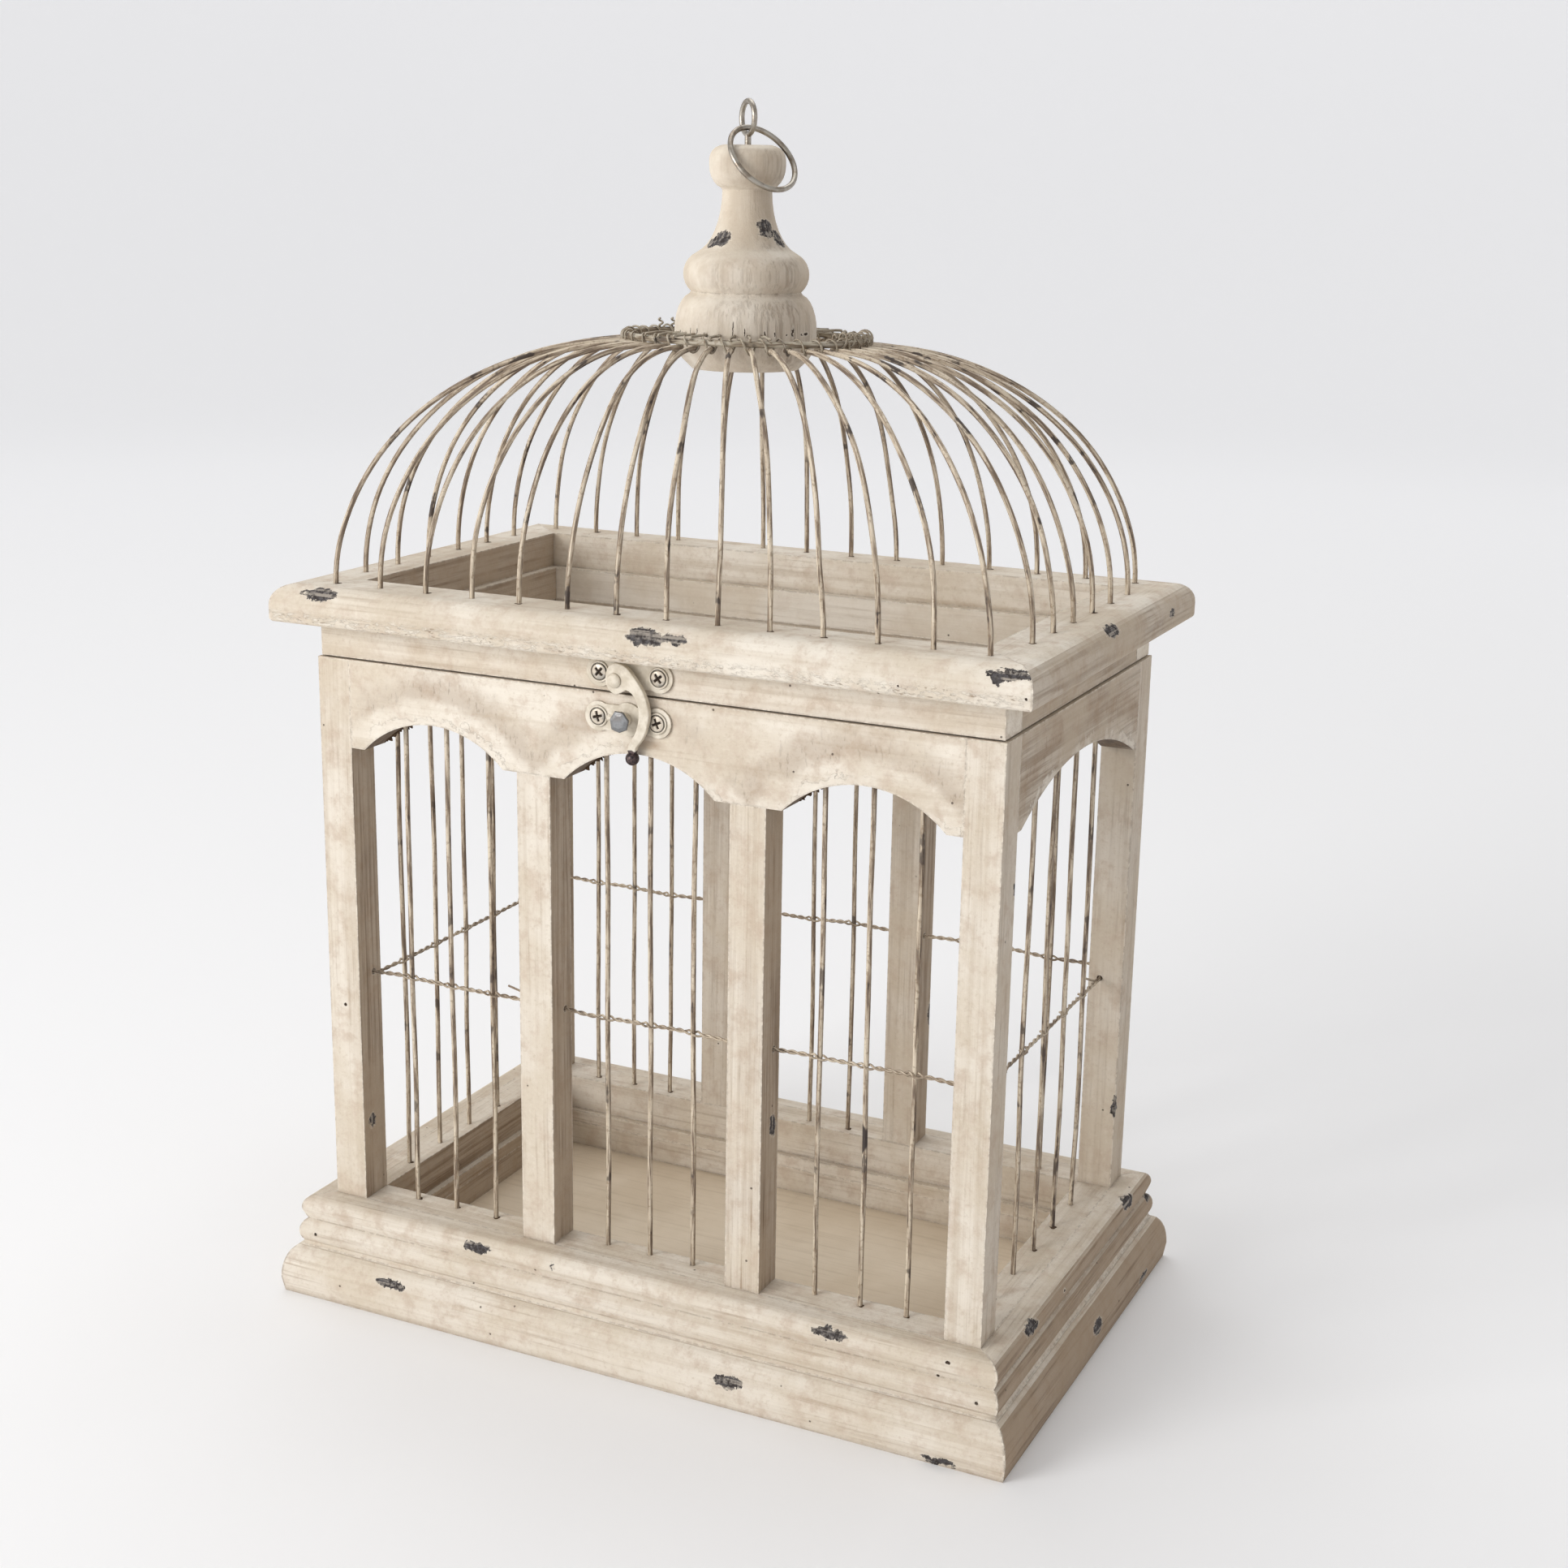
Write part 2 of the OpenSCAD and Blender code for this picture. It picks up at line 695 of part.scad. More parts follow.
// Cross-head screws with low heads on the plate
module plate_screws(z, face_y) {
    slot_w = 0.8;
    color(steel) for (s = [-1, 1])
        facing_front(-latch_left + s * latch_screw_gap / 2, face_y, z) {
            translate([0, 0, -screw_l + 1]) cylinder(d = screw_d, h = screw_l + plate_t);
            translate([0, 0, plate_t]) difference() {
                rotate_extrude() polygon(concat([[0, 0], [screw_head_r, 0]],
                    arc([0, 0], screw_head_r, screw_head_h, 20, 90, 5)));
                rotate([0, 0, 35]) for (a = [0, 90]) rotate([0, 0, a])
                    translate([-2, -slot_w / 2, 0.2]) cube([4, slot_w, 2]);
            }
        }
}

// Upper plate with the boss and rivet that carry the hook
module hook_plate() {
    color(paint) {
        latch_plate(hook_plate_z, latch_y);
        facing_front(rivet_x, latch_y - plate_t / 2, rivet_z) {
            cylinder(r = rivet_head_r + 0.8, h = latch_y - hook_back_y - plate_t / 2 - pin_gap);
            cylinder(r = rivet_r, h = latch_y - hook_front_y + rivet_head_h / 2);
            translate([0, 0, latch_y - hook_front_y - plate_t / 2 + 2 * pin_gap]) rotate_extrude()
                polygon(concat([[0, 0]], arc([0, 0], rivet_head_r, rivet_head_h, 0, 90, 6)));
        }
    }
}

// Lower plate with the stud that the hook closes round
module keeper_plate() {
    post_h = -half_d - hook_front_y + hook_gap;
    color(paint) {
        latch_plate(keeper_z, -half_d);
        facing_front(keeper_x, -half_d - plate_t / 2, keeper_z) {
            cylinder(r = keeper_post_r, h = post_h);
            translate([0, 0, post_h - plate_t / 2]) rotate_extrude() polygon(concat(
                [[0, 0], [keeper_head_r - 0.8, 0]],
                arc([keeper_head_r - 0.8, keeper_head_h / 2], 0.8, keeper_head_h / 2, -60, 90, 5),
                [[0, keeper_head_h]]));
        }
    }
}

// Crescent hook with a round eye above and a small ball at its tip
module swing_hook() {
    color(paint) difference() {
        union() {
            translate([0, hook_back_y, 0]) rotate([90, 0, 0]) linear_extrude(hook_t) union() {
                translate([rivet_x, rivet_z]) circle(r = hook_eye_r);
                intersection() {
                    difference() {
                        translate(hook_outer) circle(r = hook_outer_r, $fn = 96);
                        translate(hook_inner) circle(r = hook_inner_r, $fn = 96);
                    }
                    translate([rivet_x + 1, hook_tip_z])
                        square([hook_outer_r + 4, rivet_z - hook_tip_z + hook_eye_r]);
                }
            }
            translate([ball_tip[0], hook_back_y - hook_t / 2, ball_tip[1]])
                sphere(r = ball_tip_r, $fn = 32);
        }
        facing_front(rivet_x, 0, rivet_z) cylinder(r = rivet_r + pin_gap, h = big);
    }
}

// ---------- hinges ----------

// Knuckles of one hinge: even ones belong to the box, odd ones to the lid
module knuckle_row(first, r, shrink) {
    for (k = [first : 2 : knuckles - 1])
        translate([-hinge_l / 2 + k * knuckle_l + shrink, hinge_y, hinge_z]) rotate([0, 90, 0])
            cylinder(r = r, h = knuckle_l - 2 * shrink);
}

module hinge_bore() {
    translate([-hinge_l, hinge_y, hinge_z]) rotate([0, 90, 0])
        cylinder(r = pin_d / 2 + pin_gap, h = 2 * hinge_l);
}

module hinge_screw_holes(dir, face_y) {
    for (sx = [-1, 1], s = [-1, 1])
        translate([sx * hinge_x + s * hinge_screw_x, face_y - hinge_screw_l, hinge_z + dir * hinge_screw_h])
            rotate([-90, 0, 0]) cylinder(d = hinge_screw_d + drill_gap, h = hinge_screw_l + 2 * leaf_t);
}

module hinge_screws(dir, face_y) {
    color(steel) for (sx = [-1, 1], s = [-1, 1])
        translate([sx * hinge_x + s * hinge_screw_x, face_y, hinge_z + dir * hinge_screw_h])
            rotate([-90, 0, 0]) {
                translate([0, 0, 0.5 - hinge_screw_l])
                    cylinder(d = hinge_screw_d, h = hinge_screw_l + leaf_t);
                translate([0, 0, leaf_t]) rotate_extrude()
                    polygon(concat([[0, 0]], arc([0, 0], hinge_head_r, hinge_head_h, 0, 90, 5)));
            }
}

// Lower leaves stand on the back apron
module lower_hinge_leaves() {
    color(steel) difference() {
        for (sx = [-1, 1]) translate([sx * hinge_x, 0, 0]) difference() {
            union() {
                translate([-hinge_l / 2, half_d, hinge_z - leaf_h - 1])
                    cube([hinge_l, leaf_t, leaf_h]);
                knuckle_row(0, knuckle_r, 0);
                webs(0, half_d + leaf_t / 2, hinge_z - 1 - leaf_t);
            }
            knuckle_row(1, knuckle_r + knuckle_gap, -knuckle_gap);
            hinge_bore();
        }
        hinge_screw_holes(-1, half_d);
    }
}

// Webs join the knuckles of one set to their leaf
module webs(first, y0, z0) {
    for (k = [first : 2 : knuckles - 1])
        translate([-hinge_l / 2 + k * knuckle_l, y0, z0]) cube([knuckle_l, hinge_y - y0, leaf_t]);
}

// Upper leaves stand on the back rim
module upper_hinge_leaves() {
    color(steel) difference() {
        for (sx = [-1, 1]) translate([sx * hinge_x, 0, 0]) difference() {
            union() {
                translate([-hinge_l / 2, half_d - rim_inset, hinge_z + 0.7])
                    cube([hinge_l, leaf_t, leaf_h + 0.3]);
                knuckle_row(1, knuckle_r, knuckle_gap);
                webs(1, half_d - rim_inset + leaf_t / 2, hinge_z + 0.7);
            }
            knuckle_row(0, knuckle_r + knuckle_gap, -knuckle_gap);
            hinge_bore();
        }
        hinge_screw_holes(1, half_d - rim_inset);
    }
}

module hinge_pins() {
    color(steel) for (sx = [-1, 1])
        translate([sx * hinge_x - hinge_l / 2 - 0.4, hinge_y, hinge_z])
            rotate([0, 90, 0]) cylinder(d = pin_d, h = hinge_l + 0.8);
}

// ---------- pieces ----------

plinth(0);  // plinth_front
plinth(1);  // plinth_right
plinth(2);  // plinth_back
plinth(3);  // plinth_left
base_cap(0);  // base_cap_front
base_cap(1);  // base_cap_right
base_cap(2);  // base_cap_back
base_cap(3);  // base_cap_left
floor_panel();
sill(0);  // sill_front
sill(1);  // sill_right
sill(2);  // sill_back
sill(3);  // sill_left
corner_post(-1, -1);  // corner_post_front_left
corner_post(1, -1);  // corner_post_front_right
corner_post(-1, 1);  // corner_post_back_left
corner_post(1, 1);  // corner_post_back_right
mid_post(-1, -1);  // mid_post_front_left
mid_post(1, -1);  // mid_post_front_right
mid_post(-1, 1);  // mid_post_back_left
mid_post(1, 1);  // mid_post_back_right
apron_front();
color(paint) apron_blank(1);  // apron_right
apron_back();
color(paint) apron_blank(3);  // apron_left
wires(0);  // wires_front
wires(1);  // wires_right
wires(2);  // wires_back
wires(3);  // wires_left
tie_wires(0);  // tie_wires_front
tie_wires(2);  // tie_wires_back
for (side = [1, 3]) tie_wires(side);  // tie_wires_sides
base_brads();
lower_hinge_leaves();
hinge_pins();
hinge_screws(-1, half_d);  // lower_hinge_screws
keeper_plate();
plate_screws(keeper_z, -half_d);  // keeper_screws
lid_rim_front();
color(paint) lid_rim(1);  // lid_rim_right
lid_rim_back();
color(paint) lid_rim(3);  // lid_rim_left
lid_moulding(0);  // lid_moulding_front
lid_moulding(1);  // lid_moulding_right
lid_moulding(2);  // lid_moulding_back
lid_moulding(3);  // lid_moulding_left
dome_wires(0);  // dome_wires_front
dome_wires(1);  // dome_wires_right
dome_wires(2);  // dome_wires_back
dome_wires(3);  // dome_wires_left
crown_ring();
crown_lashing();
finial();
screw_eye();
upper_hinge_leaves();
hinge_screws(1, half_d - rim_inset);  // upper_hinge_screws
hook_plate();
plate_screws(hook_plate_z, latch_y);  // hook_plate_screws
swing_hook();
hanging_ring();
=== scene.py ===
import math
import random

import bmesh
import bpy
from mathutils import Matrix, Vector


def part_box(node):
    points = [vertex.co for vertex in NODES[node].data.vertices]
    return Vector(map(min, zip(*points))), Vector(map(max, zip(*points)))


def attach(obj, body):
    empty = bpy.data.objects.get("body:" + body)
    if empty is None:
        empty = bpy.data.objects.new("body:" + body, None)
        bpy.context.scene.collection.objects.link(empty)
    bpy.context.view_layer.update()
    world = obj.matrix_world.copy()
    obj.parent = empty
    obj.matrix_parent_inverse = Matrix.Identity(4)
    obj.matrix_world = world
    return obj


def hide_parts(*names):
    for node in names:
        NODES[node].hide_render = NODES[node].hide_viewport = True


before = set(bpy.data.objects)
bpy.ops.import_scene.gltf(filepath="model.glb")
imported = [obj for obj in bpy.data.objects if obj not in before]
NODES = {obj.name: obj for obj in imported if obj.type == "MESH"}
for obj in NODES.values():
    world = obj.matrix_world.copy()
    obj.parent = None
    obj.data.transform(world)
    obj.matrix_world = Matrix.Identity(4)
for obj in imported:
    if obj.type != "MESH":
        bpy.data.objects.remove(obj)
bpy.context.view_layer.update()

MM = 0.001


def srgb(r, g, b):
    """An 8-bit screen colour as a linear RGBA."""
    line = []
    for v in (r, g, b):
        c = v / 255
        line.append(c / 12.92 if c <= 0.04045 else ((c + 0.055) / 1.055) ** 2.4)
    return (*line, 1.0)


CREAM = srgb(207, 195, 177)
LIGHT = srgb(226, 218, 205)
BLUSH = srgb(193, 174, 156)
TAN = srgb(179, 161, 138)
GLAZE_AND_SHADE = srgb(150, 129, 106)
STAIN = srgb(146, 122, 97)
RAW_WOOD = srgb(104, 83, 63)
DEEP_BROWN = srgb(62, 48, 38)
CHIP_GREY = srgb(82, 79, 80)
CHIP_PALE = srgb(152, 144, 134)
CHIP_DARK = srgb(54, 48, 46)

# ---------------------------------------------------------------- camera and stage

CAMERA_AT = Vector((0.35296, -0.70773, 0.40592))
YAW, PITCH, ROLL = (math.radians(a) for a in (25.36, 15.06, 1.006))
LENS_MM, SENSOR_MM = 52.29, 36.0

forward = Vector((-math.sin(YAW) * math.cos(PITCH), math.cos(YAW) * math.cos(PITCH), -math.sin(PITCH)))
level = Vector((math.cos(YAW), math.sin(YAW), 0))
upright = level.cross(forward)
right = level * math.cos(ROLL) + upright * math.sin(ROLL)
up = upright * math.cos(ROLL) - level * math.sin(ROLL)

camera_data = bpy.data.cameras.new("camera")
camera_data.lens = LENS_MM
camera_data.sensor_width = SENSOR_MM
camera_data.clip_start = 0.01
camera_data.clip_end = 50
camera = bpy.data.objects.new("camera", camera_data)
bpy.context.scene.collection.objects.link(camera)
turn = Matrix((right, up, -forward)).transposed().to_4x4()
camera.matrix_world = Matrix.Translation(CAMERA_AT) @ turn
bpy.context.scene.camera = camera


# ---------------------------------------------------------------- node helpers

class Graph:
    """Builds the node tree of one material; each call returns the socket it made."""

    def __init__(self, name):
        self.material = bpy.data.materials.new(name)
        self.material.use_nodes = True
        self.tree = self.material.node_tree
        self.tree.nodes.clear()
        output = self.tree.nodes.new("ShaderNodeOutputMaterial")
        self.shader = self.tree.nodes.new("ShaderNodeBsdfPrincipled")
        self.tree.links.new(self.shader.outputs[0], output.inputs[0])
        coordinates = self.add("ShaderNodeTexCoord")
        self.normal = coordinates.outputs["Normal"]
        self.mm = self.scaled(coordinates.outputs["Object"], 1000.0)
        self.colour = self.height = None

    def add(self, kind, **settings):
        node = self.tree.nodes.new(kind)
        for key, value in settings.items():
            setattr(node, key, value)
        return node

    def feed(self, socket, value):
        if isinstance(value, bpy.types.NodeSocket):
            self.tree.links.new(value, socket)
        else:
            socket.default_value = value

    def math(self, operation, a, b=0.0):
        node = self.add("ShaderNodeMath", operation=operation)
        self.feed(node.inputs[0], a)
        self.feed(node.inputs[1], b)
        return node.outputs[0]

    def vector(self, operation, a, b=(0, 0, 0)):
        node = self.add("ShaderNodeVectorMath", operation=operation)
        self.feed(node.inputs[0], a)
        self.feed(node.inputs[1], b)
        value = operation in ("LENGTH", "DOT_PRODUCT")
        return node.outputs["Value" if value else "Vector"]

    def scaled(self, a, factor):
        """The vector times one factor, or times a tuple of three."""
        return self.vector("MULTIPLY", a, factor if isinstance(factor, tuple) else (factor,) * 3)

    def noise(self, place, size, detail=3.0, rough=0.55, out="Fac"):
        node = self.add("ShaderNodeTexNoise")
        self.feed(node.inputs["Vector"], place)
        node.inputs["Scale"].default_value = 1 / size
        node.inputs["Detail"].default_value = detail
        node.inputs["Roughness"].default_value = rough
        return node.outputs[out]

    def cells(self, place, size, feature="F1", out="Distance"):
        node = self.add("ShaderNodeTexVoronoi", feature=feature)
        self.feed(node.inputs["Vector"], place)
        node.inputs["Scale"].default_value = 1 / size
        return node.outputs[out]

    def band(self, value, low, high, first=0.0, last=1.0):
        """A smooth step: first below low, last above high."""
        node = self.add("ShaderNodeMapRange", interpolation_type="SMOOTHSTEP")
        for key, v in zip((0, 1, 2, 3, 4), (value, low, high, first, last)):
            self.feed(node.inputs[key], v)
        return node.outputs[0]

    def mix(self, factor, a, b):
        node = self.add("ShaderNodeMix", data_type="RGBA")
        self.feed(node.inputs[0], factor)
        self.feed(node.inputs[6], a)
        self.feed(node.inputs[7], b)
        return node.outputs[2]

    def fold(self, operation, values):
        total, *others = values
        for v in others:
            total = self.math(operation, total, v)
        return total

    def times(self, *values):
        return self.fold("MULTIPLY", values)

    def largest(self, *values):
        return self.fold("MAXIMUM", values)

    def coat(self, paint, *factors):
        """Lay paint over the colour so far, where and as strongly as the factors say."""
        self.colour = self.mix(self.times(*factors), self.colour, paint)

    def raised(self, *factors):
        """Add the product of the factors to the height so far, in millimetres."""
        more = self.times(*factors)
        self.height = more if self.height is None else self.math("ADD", self.height, more)

    def carved(self, *factors):
        """Take the product of the factors from the height so far."""
        self.height = self.math("SUBTRACT", self.height, self.times(*factors))

    def astray(self, amount, place, *noise):
        """The place on the object in millimetres, moved by up to half of amount."""
        off = self.vector("SUBTRACT", self.noise(place, *noise, out="Color"), (0.5, 0.5, 0.5))
        return self.vector("ADD", self.mm, self.scaled(off, amount))

    def component(self, vector, axis):
        node = self.add("ShaderNodeSeparateXYZ")
        self.feed(node.inputs[0], vector)
        return node.outputs["xyz".index(axis)]

    def edge(self, radius):
        """How close the surface is to an edge, from the difference of a rounded normal."""
        bevel = self.add("ShaderNodeBevel", samples=4)
        bevel.inputs["Radius"].default_value = radius * MM
        geometry = self.add("ShaderNodeNewGeometry")
        same = self.vector("DOT_PRODUCT", bevel.outputs[0], geometry.outputs["Normal"])
        return self.band(same, 0.985, 0.80)

    def occlusion_shade(self, reach):
        """Painted shade: how shut in the surface is by what stands around it, to darken corners and creases.
        """
        shade = self.add("ShaderNodeAmbientOcclusion", samples=4)
        shade.inputs["Distance"].default_value = reach * MM
        return self.band(shade.outputs["AO"], 0.72, 0.22)

    def spots(self, place, marks):
        """Distance from the nearest mark, 1 at its rim; marks are (centre, half sizes) in millimetres."""
        reaches = []
        for centre, half in marks:
            off = self.scaled(self.vector("SUBTRACT", place, centre), tuple(1 / h for h in half))
            reaches.append(self.vector("LENGTH", off))
        return self.fold("MINIMUM", reaches)

    def finish(self, rough, metallic=0.0, specular=0.4):
        self.feed(self.shader.inputs["Base Color"], self.colour)
        self.feed(self.shader.inputs["Roughness"], rough)
        self.feed(self.shader.inputs["Metallic"], metallic)
        self.shader.inputs["Specular IOR Level"].default_value = specular
        if self.height is not None:
            bump = self.add("ShaderNodeBump")
            bump.inputs["Distance"].default_value = MM
            self.feed(bump.inputs["Height"], self.height)
            self.tree.links.new(bump.outputs[0], self.shader.inputs["Normal"])
        return self.material


def seeded(name):
    return random.Random("cage-" + name)


GRAIN = {"X": (1 / 55, 1 / 1.3, 1 / 1.3), "Y": (1 / 1.3, 1 / 55, 1 / 1.3), "Z": (1 / 1.3, 1 / 1.3, 1 / 55)}


def aged_paint(name, grain, marks=(), slits=(), smears_and_shadows=(), glaze_and_shade=(), grainy=0.4, brown=0.0,
               edge_size=1.3, specks=None, arches=None, raw_below=False, blotchy=1.0, dirty=0.45):
    """Cream paint over wood, with brush marks, brown stain, a painted highlight and wear on the edges,
    painted shade in the corners, and chips.

    The glaze pairs (direction, strength) name the faces made browner, by glaze and, where they turn
    from the light, by painted shade; the smear marks are brown smears, two of them painted shadows
    at the right edges of the clasp plates; the corner number sets how strongly painted shade darkens
    corners and creases; specks is a strip of heights with short dark flecks; arches gives the
    distance above the arches, for the smudges and flakes along them; raw_below leaves faces that
    look down as bare wood.
    """
    g = Graph("paint_" + name)
    rng = seeded(name)
    p = g.vector("ADD", g.mm, tuple(rng.uniform(-400, 400) for _ in range(3)))
    along = g.scaled(p, GRAIN[grain])
    streak = g.noise(along, 1.0, 4.0, 0.62)
    wide_streak = g.noise(g.scaled(along, 0.28), 1.0, 3.0)
    brush = g.noise(g.scaled(along, 2.6), 1.0, 2.0)
    cloud = g.noise(p, 38.0, 5.0, 0.62)
    blotch = g.noise(p, 7.5, 5.0, 0.66)
    grit = g.noise(p, 1.5, 4.0, 0.7)
    broken = g.band(g.noise(p, 24.0, 3.0), 0.40, 0.62)

    g.colour = g.mix(g.band(cloud, 0.36, 0.64), CREAM, LIGHT)
    g.coat(BLUSH, g.band(blotch, 0.46, 0.70), 0.62 * blotchy)
    g.coat(TAN, g.band(wide_streak, 0.46, 0.70), 0.34 * blotchy)
    g.coat(STAIN, g.band(streak, 0.52, 0.72), broken, grainy)
    g.coat(TAN, g.band(grit, 0.52, 0.72), 0.34 * blotchy)
    g.coat(LIGHT, g.band(grit, 0.46, 0.30), 0.26)
    if brown:
        g.coat(STAIN, g.band(g.math("ADD", cloud, g.times(streak, 0.6)), 0.66, 0.96), brown)
    g.raised(brush, 0.09)
    g.raised(blotch, 0.20)
    g.raised(grit, 0.10)
    g.raised(streak, 0.10 + 0.22 * grainy)

    # Faces turned one way are browner: glaze, and painted shade where they turn from the light.
    for direction, strength in glaze_and_shade:
        facing = g.band(g.vector("DOT_PRODUCT", g.normal, direction), 0.45, 0.75)
        rubbed = g.band(g.math("ADD", g.times(streak, 0.8), g.times(wide_streak, 0.5)), 0.60, 0.80)
        rubbed = g.times(rubbed, g.band(cloud, 0.34, 0.60))
        g.coat(GLAZE_AND_SHADE, facing, strength)
        g.coat(RAW_WOOD, facing, rubbed, strength * 0.8)
        g.carved(facing, rubbed, 0.15)
    if arches is not None:
        gap = arches(g)
        wander = g.math("ADD", gap, g.times(g.math("SUBTRACT", g.noise(p, 9.0, 4.0, 0.6), 0.5), 9.0))
        band = g.times(g.band(wander, 6.0, 11.0), g.band(wander, 21.0, 13.0), g.band(cloud, 0.36, 0.56))
        tick = g.band(g.noise(g.scaled(p, (1, 1, 0.3)), 1.3, 3.0, 0.6), 0.56, 0.68)
        g.coat(STAIN, band, 0.42)
        g.coat(RAW_WOOD, band, tick, 0.32)
        torn = g.math("ADD", gap, g.times(g.math("SUBTRACT", g.noise(p, 5.0, 5.0, 0.7), 0.5), 15.0))
        flake = g.times(g.band(torn, 3.0, 2.4), g.band(cloud, 0.44, 0.58))
        g.coat(LIGHT, flake, 0.5)
        g.raised(flake, 0.18)
    # Brown smears; the narrow ones at the right edges of the clasp plates are painted shadows.
    for centre, half in smears_and_shadows:
        off = g.scaled(g.vector("SUBTRACT", g.mm, centre), tuple(1 / h for h in half))
        near = g.band(g.math("ADD", g.vector("LENGTH", off), g.times(blotch, 0.9)), 1.5, 0.7)
        g.coat(STAIN, near, 0.55)

    # Painted highlight: edges painted pale; in ragged places they are also worn to bare wood.
    ragged = g.band(g.math("ADD", g.noise(p, 2.6, 4.0, 0.7), g.times(cloud, 0.4)), 0.62, 0.78)
    edge = g.edge(edge_size)
    g.coat(LIGHT, edge, 0.62)
    g.coat(RAW_WOOD, edge, ragged, 0.55)

    if specks is not None:
        low, high = specks
        z = g.component(g.mm, "z")
        strip = g.times(g.band(z, low - 1, low + 0.5), g.band(z, high + 2.0, high - 1.0))
        dash = g.band(g.noise(g.scaled(p, (0.45, 1.0, 1.5)), 1.0, 3.0, 0.6), 0.60, 0.68)
        patchy = g.band(g.noise(p, 11.0, 3.0), 0.45, 0.60)
        pale = g.band(g.noise(g.scaled(p, (0.4, 1.0, 1.2)), 1.7, 4.0, 0.7), 0.50, 0.60)
        g.coat(LIGHT, strip, pale, 0.6)
        g.coat(STAIN, strip, dash, patchy, 0.65)
        g.carved(strip, g.largest(dash, pale), 0.16)

    if raw_below:
        under = g.band(g.component(g.normal, "z"), -0.12, -0.42)
        y_face = g.band(g.math("ABSOLUTE", g.component(g.normal, "y")), 0.75, 0.40)
        bare = g.times(under, y_face)
        g.coat(g.mix(g.band(streak, 0.35, 0.7), RAW_WOOD, DEEP_BROWN), bare, 0.9)
        g.carved(bare, blotch, 0.5)

    # Painted shade: corners and creases darkened towards raw wood brown by occlusion.
    g.coat(RAW_WOOD, g.occlusion_shade(4.0), dirty)

    pits = g.times(g.band(g.cells(p, 9.0), 0.052, 0.030), g.band(g.noise(p, 42.0, 1.0), 0.47, 0.53))
    g.coat(DEEP_BROWN, pits, 0.75)
    g.carved(pits, 0.3)

    if marks:
        reach = g.spots(g.astray(7.0, p, 3.4, 5.0, 0.75), marks)
        chip = g.band(reach, 1.02, 0.94)
        rim = g.band(reach, 1.25, 1.04)
        scratch = g.band(g.math("ADD", streak, g.times(grit, 0.5)), 0.72, 0.86)
        bottom = g.mix(g.band(grit, 0.40, 0.60), CHIP_DARK, CHIP_GREY)
        bottom = g.mix(g.times(scratch, g.band(blotch, 0.36, 0.52)), bottom, CHIP_PALE)
        g.coat(LIGHT, rim, 0.30)
        g.coat(bottom, chip)
        g.carved(chip, 0.35)
    if slits:
        reach = g.spots(g.astray(0.9, p, 1.2, 3.0, 0.6), slits)
        cut = g.band(reach, 1.05, 0.75)
        g.coat(LIGHT, g.band(reach, 2.2, 1.2), 0.35)
        g.coat(DEEP_BROWN, cut)
        g.carved(cut, 0.5)

    return g.finish(g.band(blotch, 0.2, 0.8, 0.66, 0.90), specular=0.25)


WIRE_TONES = (srgb(210, 197, 176), srgb(172, 155, 134), srgb(98, 82, 69))
CROWN_TONES = (srgb(188, 180, 164), srgb(150, 138, 118), srgb(100, 85, 70))
SHADED = Vector((0.75, 0.30, -0.45)).normalized()


def wire_paint(name, dark=0.5, marks=(), tones=WIRE_TONES):
    """Thin cream paint on wire, worn brown in streaks along one side, darker with painted shade where it
    faces away from the light, and bare dark in patches.
    """
    g = Graph("wire_" + name)
    rng = seeded("wire" + name)
    p = g.vector("ADD", g.mm, tuple(rng.uniform(-300, 300) for _ in range(3)))
    around = g.vector("ADD", g.scaled(p, 1 / 16), g.scaled(g.normal, 0.85))
    worn = g.noise(around, 1.0, 4.0, 0.65)
    patch = g.noise(p, 11.0, 3.0, 0.6)
    fleck = g.noise(p, 1.3, 3.0, 0.6)
    g.colour = g.mix(g.band(worn, 0.36, 0.56), tones[0], tones[1])
    g.coat(tones[2], g.band(worn, 0.48, 0.62), 0.85)
    # Painted shade: wire sides that face away from the light are darkened.
    side = g.band(g.vector("DOT_PRODUCT", g.normal, SHADED), 0.05, 0.85)
    g.coat(tones[2], side, g.band(patch, 0.36, 0.56), 0.62)
    g.coat(srgb(126, 104, 80), g.band(fleck, 0.54, 0.66), 0.55)
    bare = g.times(g.band(g.math("ADD", patch, g.times(worn, 0.35)), 0.78, 0.84), dark)
    if marks:
        bare = g.largest(bare, g.band(g.spots(g.mm, marks), 1.05, 0.90))
    g.coat(srgb(58, 48, 44), bare)
    g.raised(fleck, 0.10)
    g.carved(bare, 0.08)
    return g.finish(g.band(worn, 0.3, 0.7, 0.48, 0.72), specular=0.45)


def steel(name, tint=0.35, rough=0.3, painted=0.0, bright=srgb(176, 170, 160)):
    """Dull plated steel with brown tarnish, and smears of paint where painted is set."""
    g = Graph("steel_" + name)
    p = g.vector("ADD", g.mm, tuple(seeded("steel" + name).uniform(-90, 90) for _ in range(3)))
    tarnish = g.band(g.noise(p, 5.0, 4.0, 0.6), 0.42, 0.66)
    fine = g.noise(p, 0.5, 2.0)
    g.colour = g.mix(g.times(tarnish, tint), bright, srgb(112, 92, 72))
    metallic = 1.0
    if painted:
        smear = g.times(g.band(g.noise(p, 6.0, 5.0, 0.65), 0.40, 0.52), painted)
        g.coat(CREAM, smear)
        metallic = g.math("SUBTRACT", 1.0, smear)
    # Painted shade: near black where the surface is shut in.
    g.coat(srgb(38, 32, 28), g.occlusion_shade(1.6), 0.85)
    g.raised(fine, 0.03)
    return g.finish(g.band(fine, 0.3, 0.7, rough, rough + 0.2), metallic, 0.5)


